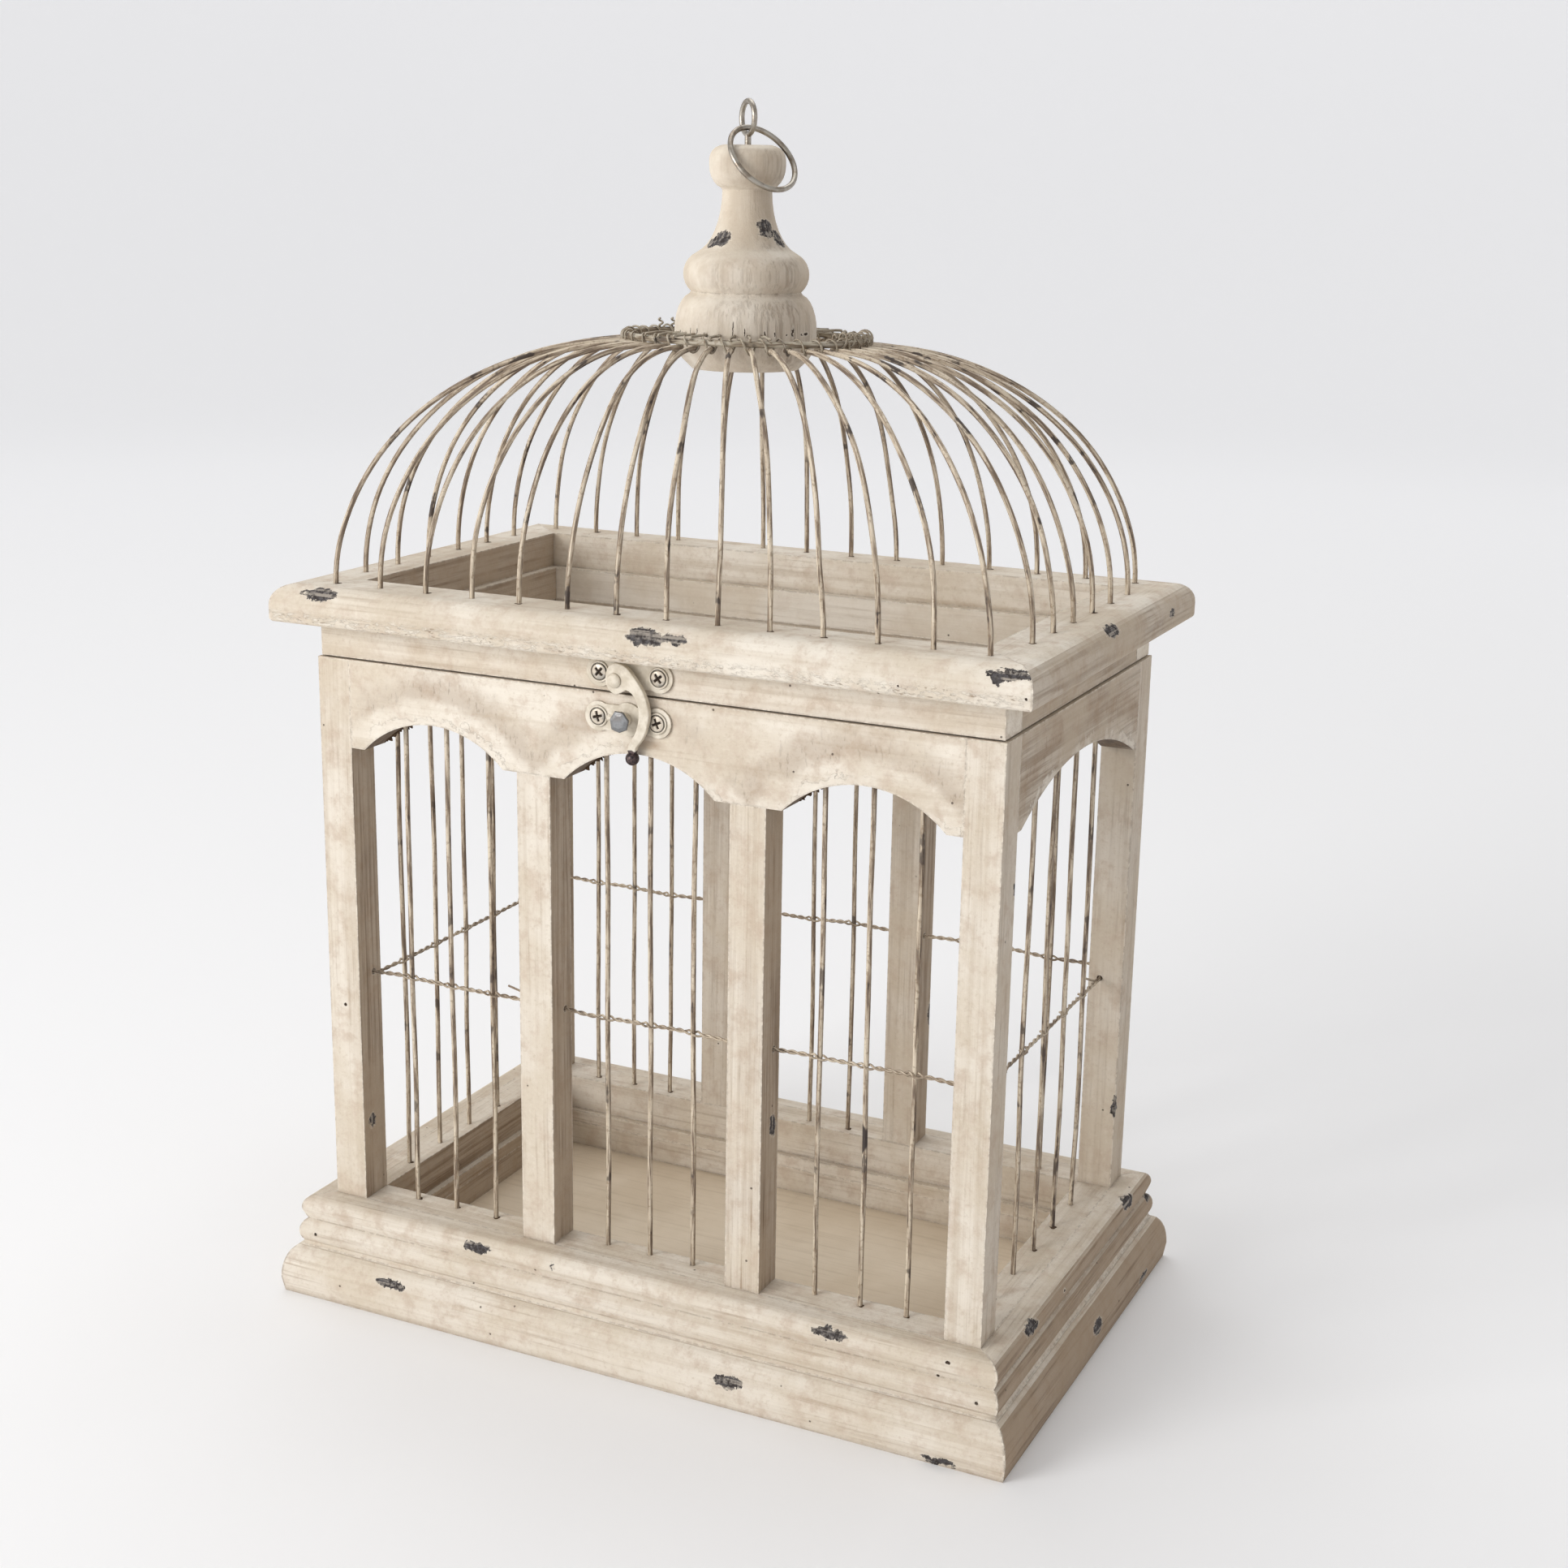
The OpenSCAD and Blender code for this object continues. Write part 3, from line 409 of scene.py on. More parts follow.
def clasp_paint(name, bare=()):
    """Cream paint on small castings, rubbed off at the edges, with painted shade in the corners."""
    g = Graph("clasp_" + name)
    p = g.mm
    cloud = g.noise(p, 3.5, 4.0, 0.6)
    fine = g.noise(p, 0.7, 3.0)
    g.colour = g.mix(g.band(cloud, 0.35, 0.65), srgb(219, 210, 194), srgb(197, 186, 167))
    edge = g.times(g.edge(0.35), g.band(cloud, 0.40, 0.62))
    g.coat(srgb(96, 86, 70), edge, 0.55)
    # Painted shade: near black where the surface is shut in.
    g.coat(srgb(58, 48, 38), g.occlusion_shade(1.5), 0.85)
    metallic, rough = 0.0, g.band(fine, 0.3, 0.7, 0.38, 0.58)
    if bare:
        metal = g.band(g.spots(g.astray(1.2, p, 1.5, 2.0, 0.5), bare), 1.05, 0.88)
        g.coat(g.mix(g.band(fine, 0.42, 0.58), srgb(84, 68, 66), srgb(44, 36, 40)), metal)
        metallic = g.times(metal, 0.4)
    g.raised(cloud, 0.08)
    g.raised(fine, 0.04)
    return g.finish(rough, metallic, 0.5)


def floor_wash():
    """A thin tan wash on a smooth panel, lighter where it was wiped."""
    g = Graph("floor_wash")
    cloud = g.noise(g.mm, 60.0, 5.0, 0.6)
    streak = g.noise(g.scaled(g.mm, (1 / 45, 1 / 2.2, 1.0)), 1.0, 4.0, 0.6)
    fine = g.noise(g.mm, 0.9, 2.0)
    g.colour = g.mix(g.band(cloud, 0.35, 0.68), srgb(226, 212, 191), srgb(212, 196, 173))
    g.coat(srgb(168, 148, 120), g.band(streak, 0.48, 0.75), 0.30)
    # Painted shade: browner where the panel is shut in by the walls and posts.
    g.coat(RAW_WOOD, g.occlusion_shade(7.0), 0.45)
    g.raised(streak, 0.08)
    g.raised(fine, 0.04)
    return g.finish(g.band(cloud, 0.3, 0.7, 0.60, 0.78), specular=0.3)


def dress(node, material):
    """Give a CAD node its material."""
    mesh = NODES[node].data
    mesh.materials.clear()
    mesh.materials.append(material)


def add_bevel(piece, width, segments, angle, harden=True):
    """Bevel the edges that turn by more than angle degrees, width in mm."""
    bevel = piece.modifiers.new("bevel", "BEVEL")
    bevel.width = width * MM
    bevel.segments = segments
    bevel.limit_method = "ANGLE"
    bevel.angle_limit = math.radians(angle)
    bevel.harden_normals = harden


def soften(node, width, angle=28):
    """Round the node's edges a little, as sanding and paint do."""
    weld = NODES[node].modifiers.new("weld", "WELD")
    weld.merge_threshold = 0.00001
    add_bevel(NODES[node], width, 2, angle)


# ---------------------------------------------------------------- sizes from the frame

def box_mm(node):
    low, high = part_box(node)
    return low / MM, high / MM


SIDES = ("front", "right", "back", "left")
INWARD = {"front": (0, 1, 0), "right": (-1, 0, 0), "back": (0, -1, 0), "left": (1, 0, 0)}
ALONG = {"front": "X", "right": "Y", "back": "X", "left": "Y"}

lid_low, lid_high = box_mm("lid_moulding_front")
apron_low, apron_high = box_mm("apron_front")
post_low = box_mm("mid_post_front_left")[0]
crown_low, crown_high = box_mm("crown_ring")
CROWN_WIRE = crown_high.z - crown_low.z
CROWN_Z = (crown_high.z + crown_low.z) / 2
CROWN_A = crown_high.x - CROWN_WIRE / 2
CROWN_B = crown_high.y - CROWN_WIRE / 2
LID_TOP = lid_high.z
DECK = box_mm("base_cap_front")[1].z
PLINTH_TOP = box_mm("plinth_front")[1].z

# ---------------------------------------------------------------- paint chips, by piece

CHIPS = {
    "lid_moulding_front": [
        ((-118, -84.2, 264.2), (6.5, 3, 2.2)), ((-123.5, -84.3, 264.6), (3.5, 2, 0.9)),
        ((8.6, -85.7, 262.4), (7, 3.2, 3)), ((17.6, -85.5, 262.6), (6, 2.6, 1.5)),
        ((131.5, -84.9, 263.6), (8, 3, 1.6)), ((128.5, -85, 262.4), (3, 3, 2.2))],
    "lid_moulding_right": [((137, -5.6, 263.9), (3, 6.5, 1.9)), ((138.5, 58, 259), (2, 3, 1.6))],
    "lid_moulding_back": [((-70, 85.5, 262.4), (9, 3, 2.4)), ((64, 86, 261), (5, 2.5, 2)),
                          ((126, 85, 263.4), (6, 3, 1.6))],
    "lid_moulding_left": [((-137.4, 30, 263.4), (3, 7, 2)), ((-138.4, -40, 259.6), (2, 4, 2.2))],
    "base_cap_front": [((-60.2, -84.4, 33.4), (5.4, 3, 2)), ((77.2, -84.3, 34.2), (6.6, 3, 1.8)),
                       ((-29.3, -84.4, 33.8), (1, 3, 0.6))],
    "base_cap_right": [((136.3, -50.6, 35.1), (3, 5.6, 1.9)), ((135.8, 57, 35.3), (3, 5.4, 1.8)),
                       ((136.5, 81.6, 27.2), (3, 2.6, 1.6))],
    "base_cap_back": [((44, 84.2, 34), (6, 3, 2)), ((-90, 84.3, 33), (4, 3, 2.2))],
    "base_cap_left": [((-136.5, 12, 34.6), (3, 6, 2)), ((-136.8, -62, 33), (3, 3, 2))],
    "plinth_front": [((-95, -89.2, 13.3), (6, 3, 1.7)), ((43, -90, 10.2), (5.4, 3, 2.4)),
                     ((120, -90.4, 2), (6, 3, 1.2))],
    "plinth_right": [((142.6, 5.4, 9.9), (3, 5, 2.6)), ((142.9, 60, 4.5), (3, 5, 2))],
    "plinth_back": [((-20, 90, 10), (7, 3, 2.6)), ((96, 90.3, 5), (5, 3, 2))],
    "plinth_left": [((-142.6, -20, 10), (3, 6, 2.6)), ((-142.8, 52, 5), (3, 4, 2.2))],
    "finial": [((-3.4, -11.9, 383.8), (3.4, 3.8, 2.9)), ((-8, -10.8, 382.4), (3.8, 3, 1.8)),
               ((9.2, -4.2, 387), (2.8, 3.2, 3.4)), ((12, -0.6, 383.4), (3, 2.6, 3.6)),
               ((-2, 21, 371), (4, 3, 1.6))],
    "mid_post_front_left": [((-46.8, -70, 62), (1.6, 2.6, 5))],
    "mid_post_front_right": [((46.8, -66, 96), (1.6, 2, 4))],
    "mid_post_back_left": [((-34, 75, 150), (2, 2, 5))],
    "mid_post_back_right": [((46.6, 74.6, 88), (2, 2, 4.5))],
    "corner_post_front_left": [((-114.4, -70, 66), (1.4, 1.6, 3)), ((-127.3, -62.4, 120), (1.6, 1.6, 4))],
    "corner_post_back_right": [((127.3, 62.4, 70), (1.6, 1.6, 5))],
    "corner_post_back_left": [((-127.2, 74.6, 188), (2, 2, 4.5))],
    "corner_post_front_right": [((127.2, -62.2, 190), (1.4, 1.4, 2.6))],
    "apron_back": [((-28, 75, 226), (5, 2, 2.6))],
}
NAIL_HOLES = {
    "base_cap_front": [((119.7, -84.1, 34.4), (0.9, 2, 0.5)), ((116.1, -83, 28.3), (0.7, 2, 0.45))],
    "base_cap_right": [((136.6, -18, 33.6), (2, 0.8, 0.5))],
    "lid_moulding_front": [((136.9, -86.2, 257), (0.5, 1.5, 0.5)), ((96, -86.4, 256.5), (0.4, 1.5, 0.4))],
    "corner_post_front_left": [((-121, -75, 112), (0.6, 1.5, 0.6))],
}

# ---------------------------------------------------------------- wooden pieces

ARCH_RISE, ARCH_FLAT = 12.0, 5.6
SIDE_RISE, SIDE_FLAT = 13.5, 3.5


def arch_circles(side):
    """Centre along the side, centre height and radius of each arch of that side's apron."""
    if side in ("front", "back"):
        inner, outer = (corner.x for corner in box_mm("mid_post_front_right"))
        end = apron_high.x
        spans = [(-end, -outer), (-inner, inner), (outer, end)]
        rise, flat = ARCH_RISE, ARCH_FLAT
    else:
        end = box_mm("apron_right")[1].y
        spans = [(-end, end)]
        rise, flat = SIDE_RISE, SIDE_FLAT
    found = []
    for a, b in spans:
        half = (b - a) / 2 - flat
        radius = (half * half + rise * rise) / (2 * rise)
        found.append(((a + b) / 2, apron_low.z + rise - radius, radius))
    return found


def above_arches(side):
    """The distance of a place from the nearest arch of that side, as a node socket."""
    def distance(g):
        gaps = []
        for centre, height, radius in arch_circles(side):
            if side in ("front", "back"):
                place, flat = (centre, 0, height), (1, 0, 1)
            else:
                place, flat = (0, centre, height), (0, 1, 1)
            off = g.scaled(g.vector("SUBTRACT", g.mm, place), flat)
            gaps.append(g.math("SUBTRACT", g.vector("LENGTH", off), radius))
        return g.fold("MINIMUM", gaps)
    return distance


# The faces that look into the cage are browner; the strengths also paint shade, most on the left wall's inner
# face, which turns from the light, least on the back one, which faces it
INNER_GLAZE_AND_SHADE = {"front": 0.4, "right": 0.4, "back": 0.05, "left": 0.7}
RIGHT = (1, 0, 0)
# Brown near the clasp: the two narrow marks at the right edges of the plates are painted shadows, the wide
# one darkens the apron below the keeper plate
SMEARS_AND_SHADOWS = {
    "lid_rim_front": [((11.0, -74.0, 245.5), (2.4, 4.0, 4.0))],
    "apron_front": [((10.8, -75.0, 231.5), (2.4, 4.0, 4.4)), ((4.0, -75.0, 224.4), (7.0, 4.0, 2.2))],
}

for side in SIDES:
    for part in ("plinth_", "base_cap_", "sill_", "lid_moulding_", "lid_rim_", "apron_"):
        node = part + side
        looks = dict(marks=CHIPS.get(node, ()), slits=NAIL_HOLES.get(node, ()), smears_and_shadows=SMEARS_AND_SHADOWS.get(node, ()))
        glaze_and_shade = [(INWARD[side], INNER_GLAZE_AND_SHADE[side])]
        # Painted shade with brown glaze on the faces that turn right, away from the light.
        if side == "right":
            glaze_and_shade.append((RIGHT, 0.85 if part in ("plinth_", "base_cap_") else 0.48))
        if part in ("plinth_", "base_cap_"):
            looks.update(grainy=0.8 if side == "right" else 0.42, brown=0.12)
        elif part == "sill_":
            looks.update(grainy=0.4, brown=0.15)
        elif part == "lid_moulding_":
            looks.update(grainy=0.35)
            if side == "front":
                looks.update(specks=(lid_low.z, lid_low.z + 4))
        elif part == "lid_rim_":
            looks.update(grainy=0.35, brown=0.1, blotchy=0.35 if side == "back" else 1.0,
                         dirty=0.2 if side == "back" else 0.45)
        else:
            looks.update(grainy=0.2, edge_size=1.6, arches=above_arches(side), raw_below=True)
        dress(node, aged_paint(node, ALONG[side], glaze_and_shade=glaze_and_shade, **looks))
        if node not in ("base_cap_front", "base_cap_back"):
            soften(node, 0.45)

for node in NODES:
    if "_post_" in node:
        rough_post = node == "mid_post_front_right"
        # Painted shade with brown glaze on the posts' right faces; the faces that look into the cage are
        # browner.
        glaze_and_shade = [(RIGHT, 0.66), ((0, 1, 0) if "front" in node else (0, -1, 0), 0.12)]
        if "right" in node and "corner" in node:
            glaze_and_shade[0] = (RIGHT, 0.35)
            glaze_and_shade.append(((-1, 0, 0), 0.45))
        dress(node, aged_paint(node, "Z", marks=CHIPS.get(node, ()), slits=NAIL_HOLES.get(node, ()),
                               glaze_and_shade=glaze_and_shade, grainy=0.9 if rough_post else 0.35,
                               brown=0.3 if rough_post else 0.1))
        soften(node, 0.5)

# Short cracks round the front of the finial's bowl, above the stays
STAY_Z = CROWN_Z + 1.8
BOWL_R = box_mm("finial")[1].x
CRACKS, CRACK_PITCH = 20, 9
crack_marks = []
crack_rng = seeded("cracks")
for k in range(CRACKS):
    angle = math.radians(-90 + (k - (CRACKS - 1) / 2) * CRACK_PITCH + crack_rng.uniform(-4, 4))
    tall = 0.3 + 2.9 * crack_rng.random() ** 3
    crack_marks.append(((BOWL_R * math.cos(angle), BOWL_R * math.sin(angle), STAY_Z + tall * 0.8),
                        (0.13 + 0.10 * crack_rng.random(), 1.4, tall)))
# Brown glaze with painted shade on the finial's right and front right faces.
dress("finial", aged_paint("finial", "Z", marks=CHIPS["finial"], slits=crack_marks, grainy=0.06, blotchy=0.5,
                           glaze_and_shade=[(RIGHT, 0.28), ((0.6, -0.8, 0), 0.24)]))
soften("finial", 0.3, angle=32)
dress("floor_panel", floor_wash())
soften("floor_panel", 0.3)

# Paint that has filled the joint between the two base mouldings
BODY_X, BODY_Y = 127.5, 75.0
FILL = ((7.4, -0.2), (10.3, -0.18), (9.8, 0.15), (9.45, 0.6), (9.22, 1.1), (9.12, 1.55), (7.4, 1.1))


def joint_fill(rng, steps=60):
    """The skin of a mitred fillet round the base, a little uneven along its length."""
    rings = []
    for a, b in ((1, 0), (0, 1), (-1, 0), (0, -1)):
        for k in range(steps):
            t = -1 + 2 * k / steps
            swell = rng.uniform(-0.12, 0.12) if k else 0.0
            ring = []
            for n, (out, z) in enumerate(FILL):
                reach = out + (swell if 1 < n < 6 else 0.0)
                x, y = BODY_X + reach, BODY_Y + reach
                ring.append((t * x * a + x * b, t * y * b - y * a, PLINTH_TOP + z))
            rings.append(ring)
    return stacked(rings, closed=True)


# ---------------------------------------------------------------- metal pieces

def circle(count):
    """Angles that share one turn evenly."""
    return [2 * math.pi * k / count for k in range(count)]


def stacked(rings, caps=(True, True), number=0, closed=False):
    """Vertices, faces and material number of a skin over rings of the same number of points."""
    count, total = len(rings[0]), len(rings)
    faces = []
    for i in range(total if closed else total - 1):
        here, there = i * count, (i + 1) % total * count
        for k in range(count):
            m = (k + 1) % count
            faces.append((here + k, here + m, there + m, there + k))
    if caps[0] and not closed:
        faces.append(tuple(reversed(range(count))))
    if caps[1] and not closed:
        faces.append(tuple(range((total - 1) * count, total * count)))
    return [v for ring in rings for v in ring], faces, number


def link_mesh(name, verts, faces, materials):
    """A linked object from vertices in metres, and its mesh."""
    mesh = bpy.data.meshes.new(name)
    mesh.from_pydata(verts, [], faces)
    for material in materials:
        mesh.materials.append(material)
    made = bpy.data.objects.new(name, mesh)
    bpy.context.scene.collection.objects.link(made)
    return made, mesh


def build(name, shapes, materials, body, *replaced, slot="wire", smooth="sides", rounding=0.0):
    """One object from several (vertices in mm, faces, material number or numbers), riding a body.

    smooth is all, sides (faces of four corners) or none; rounding bevels the edges by that many mm.
    """
    verts, faces, numbers = [], [], []
    for more_verts, more_faces, number in shapes:
        start = len(verts)
        verts += [Vector(v) * MM for v in more_verts]
        faces += [tuple(start + i for i in face) for face in more_faces]
        numbers += number if isinstance(number, list) else [number] * len(more_faces)
    made, mesh = link_mesh(name, verts, faces, materials)
    shaded = {"all": (3, 1000), "sides": (4, 4), "none": (0, 0)}[smooth]
    mesh.polygons.foreach_set("use_smooth", [shaded[0] <= len(f) <= shaded[1] for f in faces])
    mesh.polygons.foreach_set("material_index", numbers)
    # Merge vertices at the same place and turn every face of the closed solids outward
    work = bmesh.new()
    work.from_mesh(mesh)
    bmesh.ops.remove_doubles(work, verts=work.verts, dist=0.000002)
    bmesh.ops.recalc_face_normals(work, faces=work.faces)
    work.to_mesh(mesh)
    work.free()
    if rounding:
        add_bevel(made, rounding, 3, 32, smooth != "none")
    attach(made, body)
    if replaced:
        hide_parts(*replaced)


def smooth_loop(points, per_span=7):
    """A closed Catmull-Rom curve through the points."""
    loop = []
    n = len(points)
    for i in range(n):
        p0, p1, p2, p3 = (Vector(points[(i + k) % n]) for k in (-1, 0, 1, 2))
        for j in range(per_span):
            t = j / per_span
            loop.append(0.5 * (2 * p1 + (p2 - p0) * t + (2 * p0 - 5 * p1 + 4 * p2 - p3) * t * t
                               + (3 * p1 - p0 - 3 * p2 + p3) * t * t * t))
    return loop


hook_low, hook_high = box_mm("swing_hook")
keeper_low, keeper_high = box_mm("keeper_plate")
BALL_R = 2.3
TIP_X = -0.6
HOOK_BACK = hook_high.y - (hook_high.y - hook_low.y - 2.0) / 2
HOOK_FRONT = HOOK_BACK - 2.0
HOOK_OUTLINE = [
    (-10.2, 245.7), (-9.9, 248), (-8.8, 249.9), (-7, 251), (-4.94, 251), (-2.79, 250.2), (-0.95, 248.7),
    (0.88, 246.57), (2.72, 244.18), (4.25, 241.61), (5.41, 238.45), (5.94, 235.21), (5.55, 231.86),
    (4.42, 228.4), (2.73, 225.6), (1.25, 223.6), (0.75, 221.6), (-0.6, 220.6), (-1.9, 221.8), (-1.75, 224),
    (-0.35, 226.4), (0.94, 228.81), (1.81, 231.96), (2.11, 234.76), (1.9, 236.94), (1.04, 239.4),
    (-0.5, 241.5), (-2.4, 242.4), (-4.2, 241.5), (-6.4, 240.7), (-8.5, 241.5), (-9.8, 243.4)]
hook_paint = clasp_paint("swing_hook", bare=[((TIP_X, HOOK_BACK - 1, hook_low.z + BALL_R),
                                              (3.6, 4.0, 3.3))])
loop = smooth_loop([(x, 0, z) for x, z in HOOK_OUTLINE])
loop.reverse()
hook_rings = [[(v.x, y, v.z) for v in loop] for y in (HOOK_BACK, HOOK_FRONT)]
BALL = Vector((TIP_X, (HOOK_BACK + HOOK_FRONT) / 2, hook_low.z + BALL_R))
ball_rings = []
for k in range(1, 16):
    a = math.pi * k / 16
    flat_r, fall = BALL_R * math.sin(a), BALL_R * math.cos(a)
    ball_rings.append([BALL + Vector((flat_r * math.cos(t), flat_r * math.sin(t), -fall))
                       for t in circle(28)])
build("cast_hook", [stacked(hook_rings), stacked(ball_rings)], [hook_paint], "hook", "swing_hook",
      slot="clasp", smooth="all", rounding=0.42)

dress("hook_plate", clasp_paint("hook_plate"))
dress("keeper_plate", clasp_paint("keeper_plate"))
for node in ("hook_plate", "keeper_plate"):
    soften(node, 0.2)

# The stud: a bare faceted head over the keeper's post, and the painted ridge that braces it
stud_x, stud_z = (keeper_low.x + keeper_high.x) / 2 - 0.7, (keeper_low.z + keeper_high.z) / 2
FACETS = ((0.2, 1.0), (1.15, 0.98), (2.0, 1.02), (2.95, 0.94), (3.9, 1.05), (4.75, 0.95), (5.6, 1.0))
stud_rings = []
for y, r in ((1.9, 2.25), (0.75, 3.45), (0.1, 3.75), (-0.35, 3.5), (-0.62, 2.2)):
    y += keeper_low.y + 0.45
    stud_rings.append([(stud_x + r * k * math.cos(a), y, stud_z + r * 1.03 * k * math.sin(a))
                       for a, k in FACETS])
build("faceted_stud", [stacked(stud_rings)], [steel("stud", 0.25, 0.42, bright=srgb(130, 131, 132))], "box",
      slot="clasp", smooth="none", rounding=0.18)
plate_face = keeper_high.y - 0.8
ridge = []
for x, half, tall in ((-7.4, 1.9, 0.15), (-6.2, 1.0, 0.75), (-4.9, 0.85, 1.2),
                      (-3.6, 1.25, 2.0), (-2.5, 2.1, 2.9), (-1.6, 2.5, 3.3)):
    base_y, low_y, top_y = plate_face + 0.3, plate_face - 0.12 * tall, plate_face - tall
    ridge.append([(stud_x + x, y, stud_z + z) for y, z in (
        (base_y, -half), (low_y, -half), (top_y, -half * 0.35),
        (top_y, half * 0.35), (low_y, half), (base_y, half))])
build("stud_ridge", [stacked(ridge)], [clasp_paint("ridge")], "box", slot="clasp", smooth="all", rounding=0.2)

# Cross-head screws: a low dome with a recessed cross, in a dark gap with a raised rim of paint
SHANK_R, SHANK_DEEP, SHANK_POINT = 1.2, 7.6, 1.6
HEAD_R, HEAD_H, HEAD_EDGE = 2.6, 0.62, 0.12
CROSS_HALF_WIDTH, CROSS_REACH = 0.47, 1.82
RIM_R, RIM_THICK = 3.28, 0.34
HEAD_LIFT = 0.7


def cross_head(x, face_y, z, turn, spokes=88, rows=34):
    """Head and shank, then the ring of paint round them, of a screw whose head sits on face_y."""
    ca, sa = math.cos(math.radians(turn)), math.sin(math.radians(turn))
    rings = []
    for i in range(1, rows + 1):
        r = HEAD_R * i / rows
        ring = []
        for t in circle(spokes):
            u, v = r * math.cos(t), r * math.sin(t)
            dome = HEAD_EDGE + (HEAD_H - HEAD_EDGE) * math.sqrt(max(0.0, 1 - (r / (HEAD_R * 1.03)) ** 2))
            a, b = abs(u * ca + v * sa), abs(-u * sa + v * ca)
            if min(a, b) < CROSS_HALF_WIDTH and max(a, b) < CROSS_REACH:
                dome = min(dome, -0.05 + 0.2 * r)
            ring.append((x + u, face_y - dome, z + v))
        rings.append(ring)
    for r, back in ((SHANK_R, 0.25), (SHANK_R, SHANK_DEEP - SHANK_POINT), (0.15, SHANK_DEEP)):
        rings.append([(x + r * math.cos(t), face_y + back, z + r * math.sin(t)) for t in circle(spokes)])
    verts, faces, _ = stacked(rings, caps=(False, True))
    # The floor of the cross is dark dirt with painted shade, near black, material 1
    numbers = [int(n // spokes < rows * 0.68 and all(verts[j][1] > face_y - 0.36 for j in face))
               for n, face in enumerate(faces)]
    centre = len(verts)
    verts.append((x, face_y + 0.05, z))
    faces += [(centre, (k + 1) % spokes, k) for k in range(spokes)]
    rim = []
    for t in circle(48):
        around = [(RIM_R + RIM_THICK * math.cos(a), face_y + 0.02 - 0.30 * math.sin(a)) for a in circle(10)]
        rim.append([(x + r * math.cos(t), y, z + r * math.sin(t)) for r, y in around])
    return [(verts, faces, numbers + [1] * spokes), stacked(rim, number=2, closed=True)]


# Near black for the floors of the crosses: dirt with painted shade.
grime_and_shade = Graph("screw_grime_and_shade")
grime_and_shade_spots = grime_and_shade.band(grime_and_shade.noise(grime_and_shade.mm, 0.6, 3.0), 0.4, 0.6)
grime_and_shade.colour = grime_and_shade.mix(grime_and_shade_spots, srgb(34, 29, 26), srgb(62, 50, 40))
grime_and_shade_material = grime_and_shade.finish(0.85, specular=0.2)
for node, body, turns in (("hook_plate_screws", "lid", (48, 38)), ("keeper_screws", "box", (14, 22))):
    low, high = box_mm(node)
    radius, middle = (high.z - low.z) / 2, (high.z + low.z) / 2
    shapes = (cross_head(low.x + radius, low.y + HEAD_LIFT, middle, turns[0])
              + cross_head(high.x - radius, low.y + HEAD_LIFT, middle, turns[1]))
    materials = [steel(node, 0.2, 0.30, painted=0.85), grime_and_shade_material, clasp_paint(node)]
    build("cross_head_" + node, shapes, materials, body, node, slot="steel", smooth="all")
for node in ("lower_hinge_leaves", "upper_hinge_leaves", "hinge_pins"):
    dress(node, steel(node, 0.6, 0.34, painted=0.6))
    soften(node, 0.15)
for node in ("lower_hinge_screws", "upper_hinge_screws", "base_brads"):
    dress(node, steel(node, 0.6, 0.34))
for node in ("screw_eye", "hanging_ring"):
    dress(node, steel(node, 0.65, 0.30))

# ---------------------------------------------------------------- wires


def tube(path, radius, sides=10, closed=False):
    """The skin of a round wire through the points of path, in millimetres."""
    count = len(path)
    tangents = []
    for i in range(count):
        before = path[(i - 1) % count] if closed or i else path[i]
        after = path[(i + 1) % count] if closed or i < count - 1 else path[i]
        tangents.append((after - before).normalized())
    side = tangents[0].orthogonal().normalized()
    sides_at = []
    for tangent in tangents:
        side = (side - tangent * side.dot(tangent)).normalized()
        sides_at.append((side, tangent.cross(side)))
    if closed:
        # Spread the twist that is left at the joint over the whole loop
        u, v = sides_at[0]
        last = (sides_at[-1][0] - tangents[0] * sides_at[-1][0].dot(tangents[0])).normalized()
        twist = math.atan2(last.dot(v), last.dot(u))
    else:
        twist = 0.0
    rings = []
    for i, centre in enumerate(path):
        u, v = sides_at[i]
        angles = [2 * math.pi * k / sides - twist * i / count for k in range(sides)]
        rings.append([centre + (u * math.cos(a) + v * math.sin(a)) * radius for a in angles])
    return stacked(rings, closed=closed)


def clusters(node, top_or_bottom, gap=3.0):
    """Centres of the separate groups of vertices at the top or bottom of a node, in millimetres."""
    low, high = box_mm(node)
    level_z = low.z if top_or_bottom == "bottom" else high.z
    groups = []
    for vertex in NODES[node].data.vertices:
        p = vertex.co / MM
        if abs(p.z - level_z) > 0.3:
            continue
        for group in groups:
            if (group[0] - p).length < gap:
                group.append(p)
                break
        else:
            groups.append([p])
    centres = []
    for group in groups:
        xs, ys = [p.x for p in group], [p.y for p in group]
        centres.append(Vector(((min(xs) + max(xs)) / 2, (min(ys) + max(ys)) / 2, level_z)))
    return centres


def wobble(rng, size):
    """A gentle hand-bent wander: a function of 0 to 1 that is 0 at both ends."""
    terms = [(rng.uniform(-1, 1) / k, k, rng.uniform(0, 0.6)) for k in (1, 2, 3, 5)]

    def wander(s):
        total = sum(a * math.sin(math.pi * k * s + late * math.sin(math.pi * s)) for a, k, late in terms)
        return size * total * min(1.0, 6 * s, 6 * (1 - s))
    return wander


first_wire = clusters("wires_front", "bottom")[0]
WIRE_R = box_mm("wires_front")[1].y - first_wire.y
WIRE_MARKS = {"front": [((80.2, -66.3, 98), (2, 2, 6.2))], "back": [((24, 66.3, 150), (2, 2, 4))]}

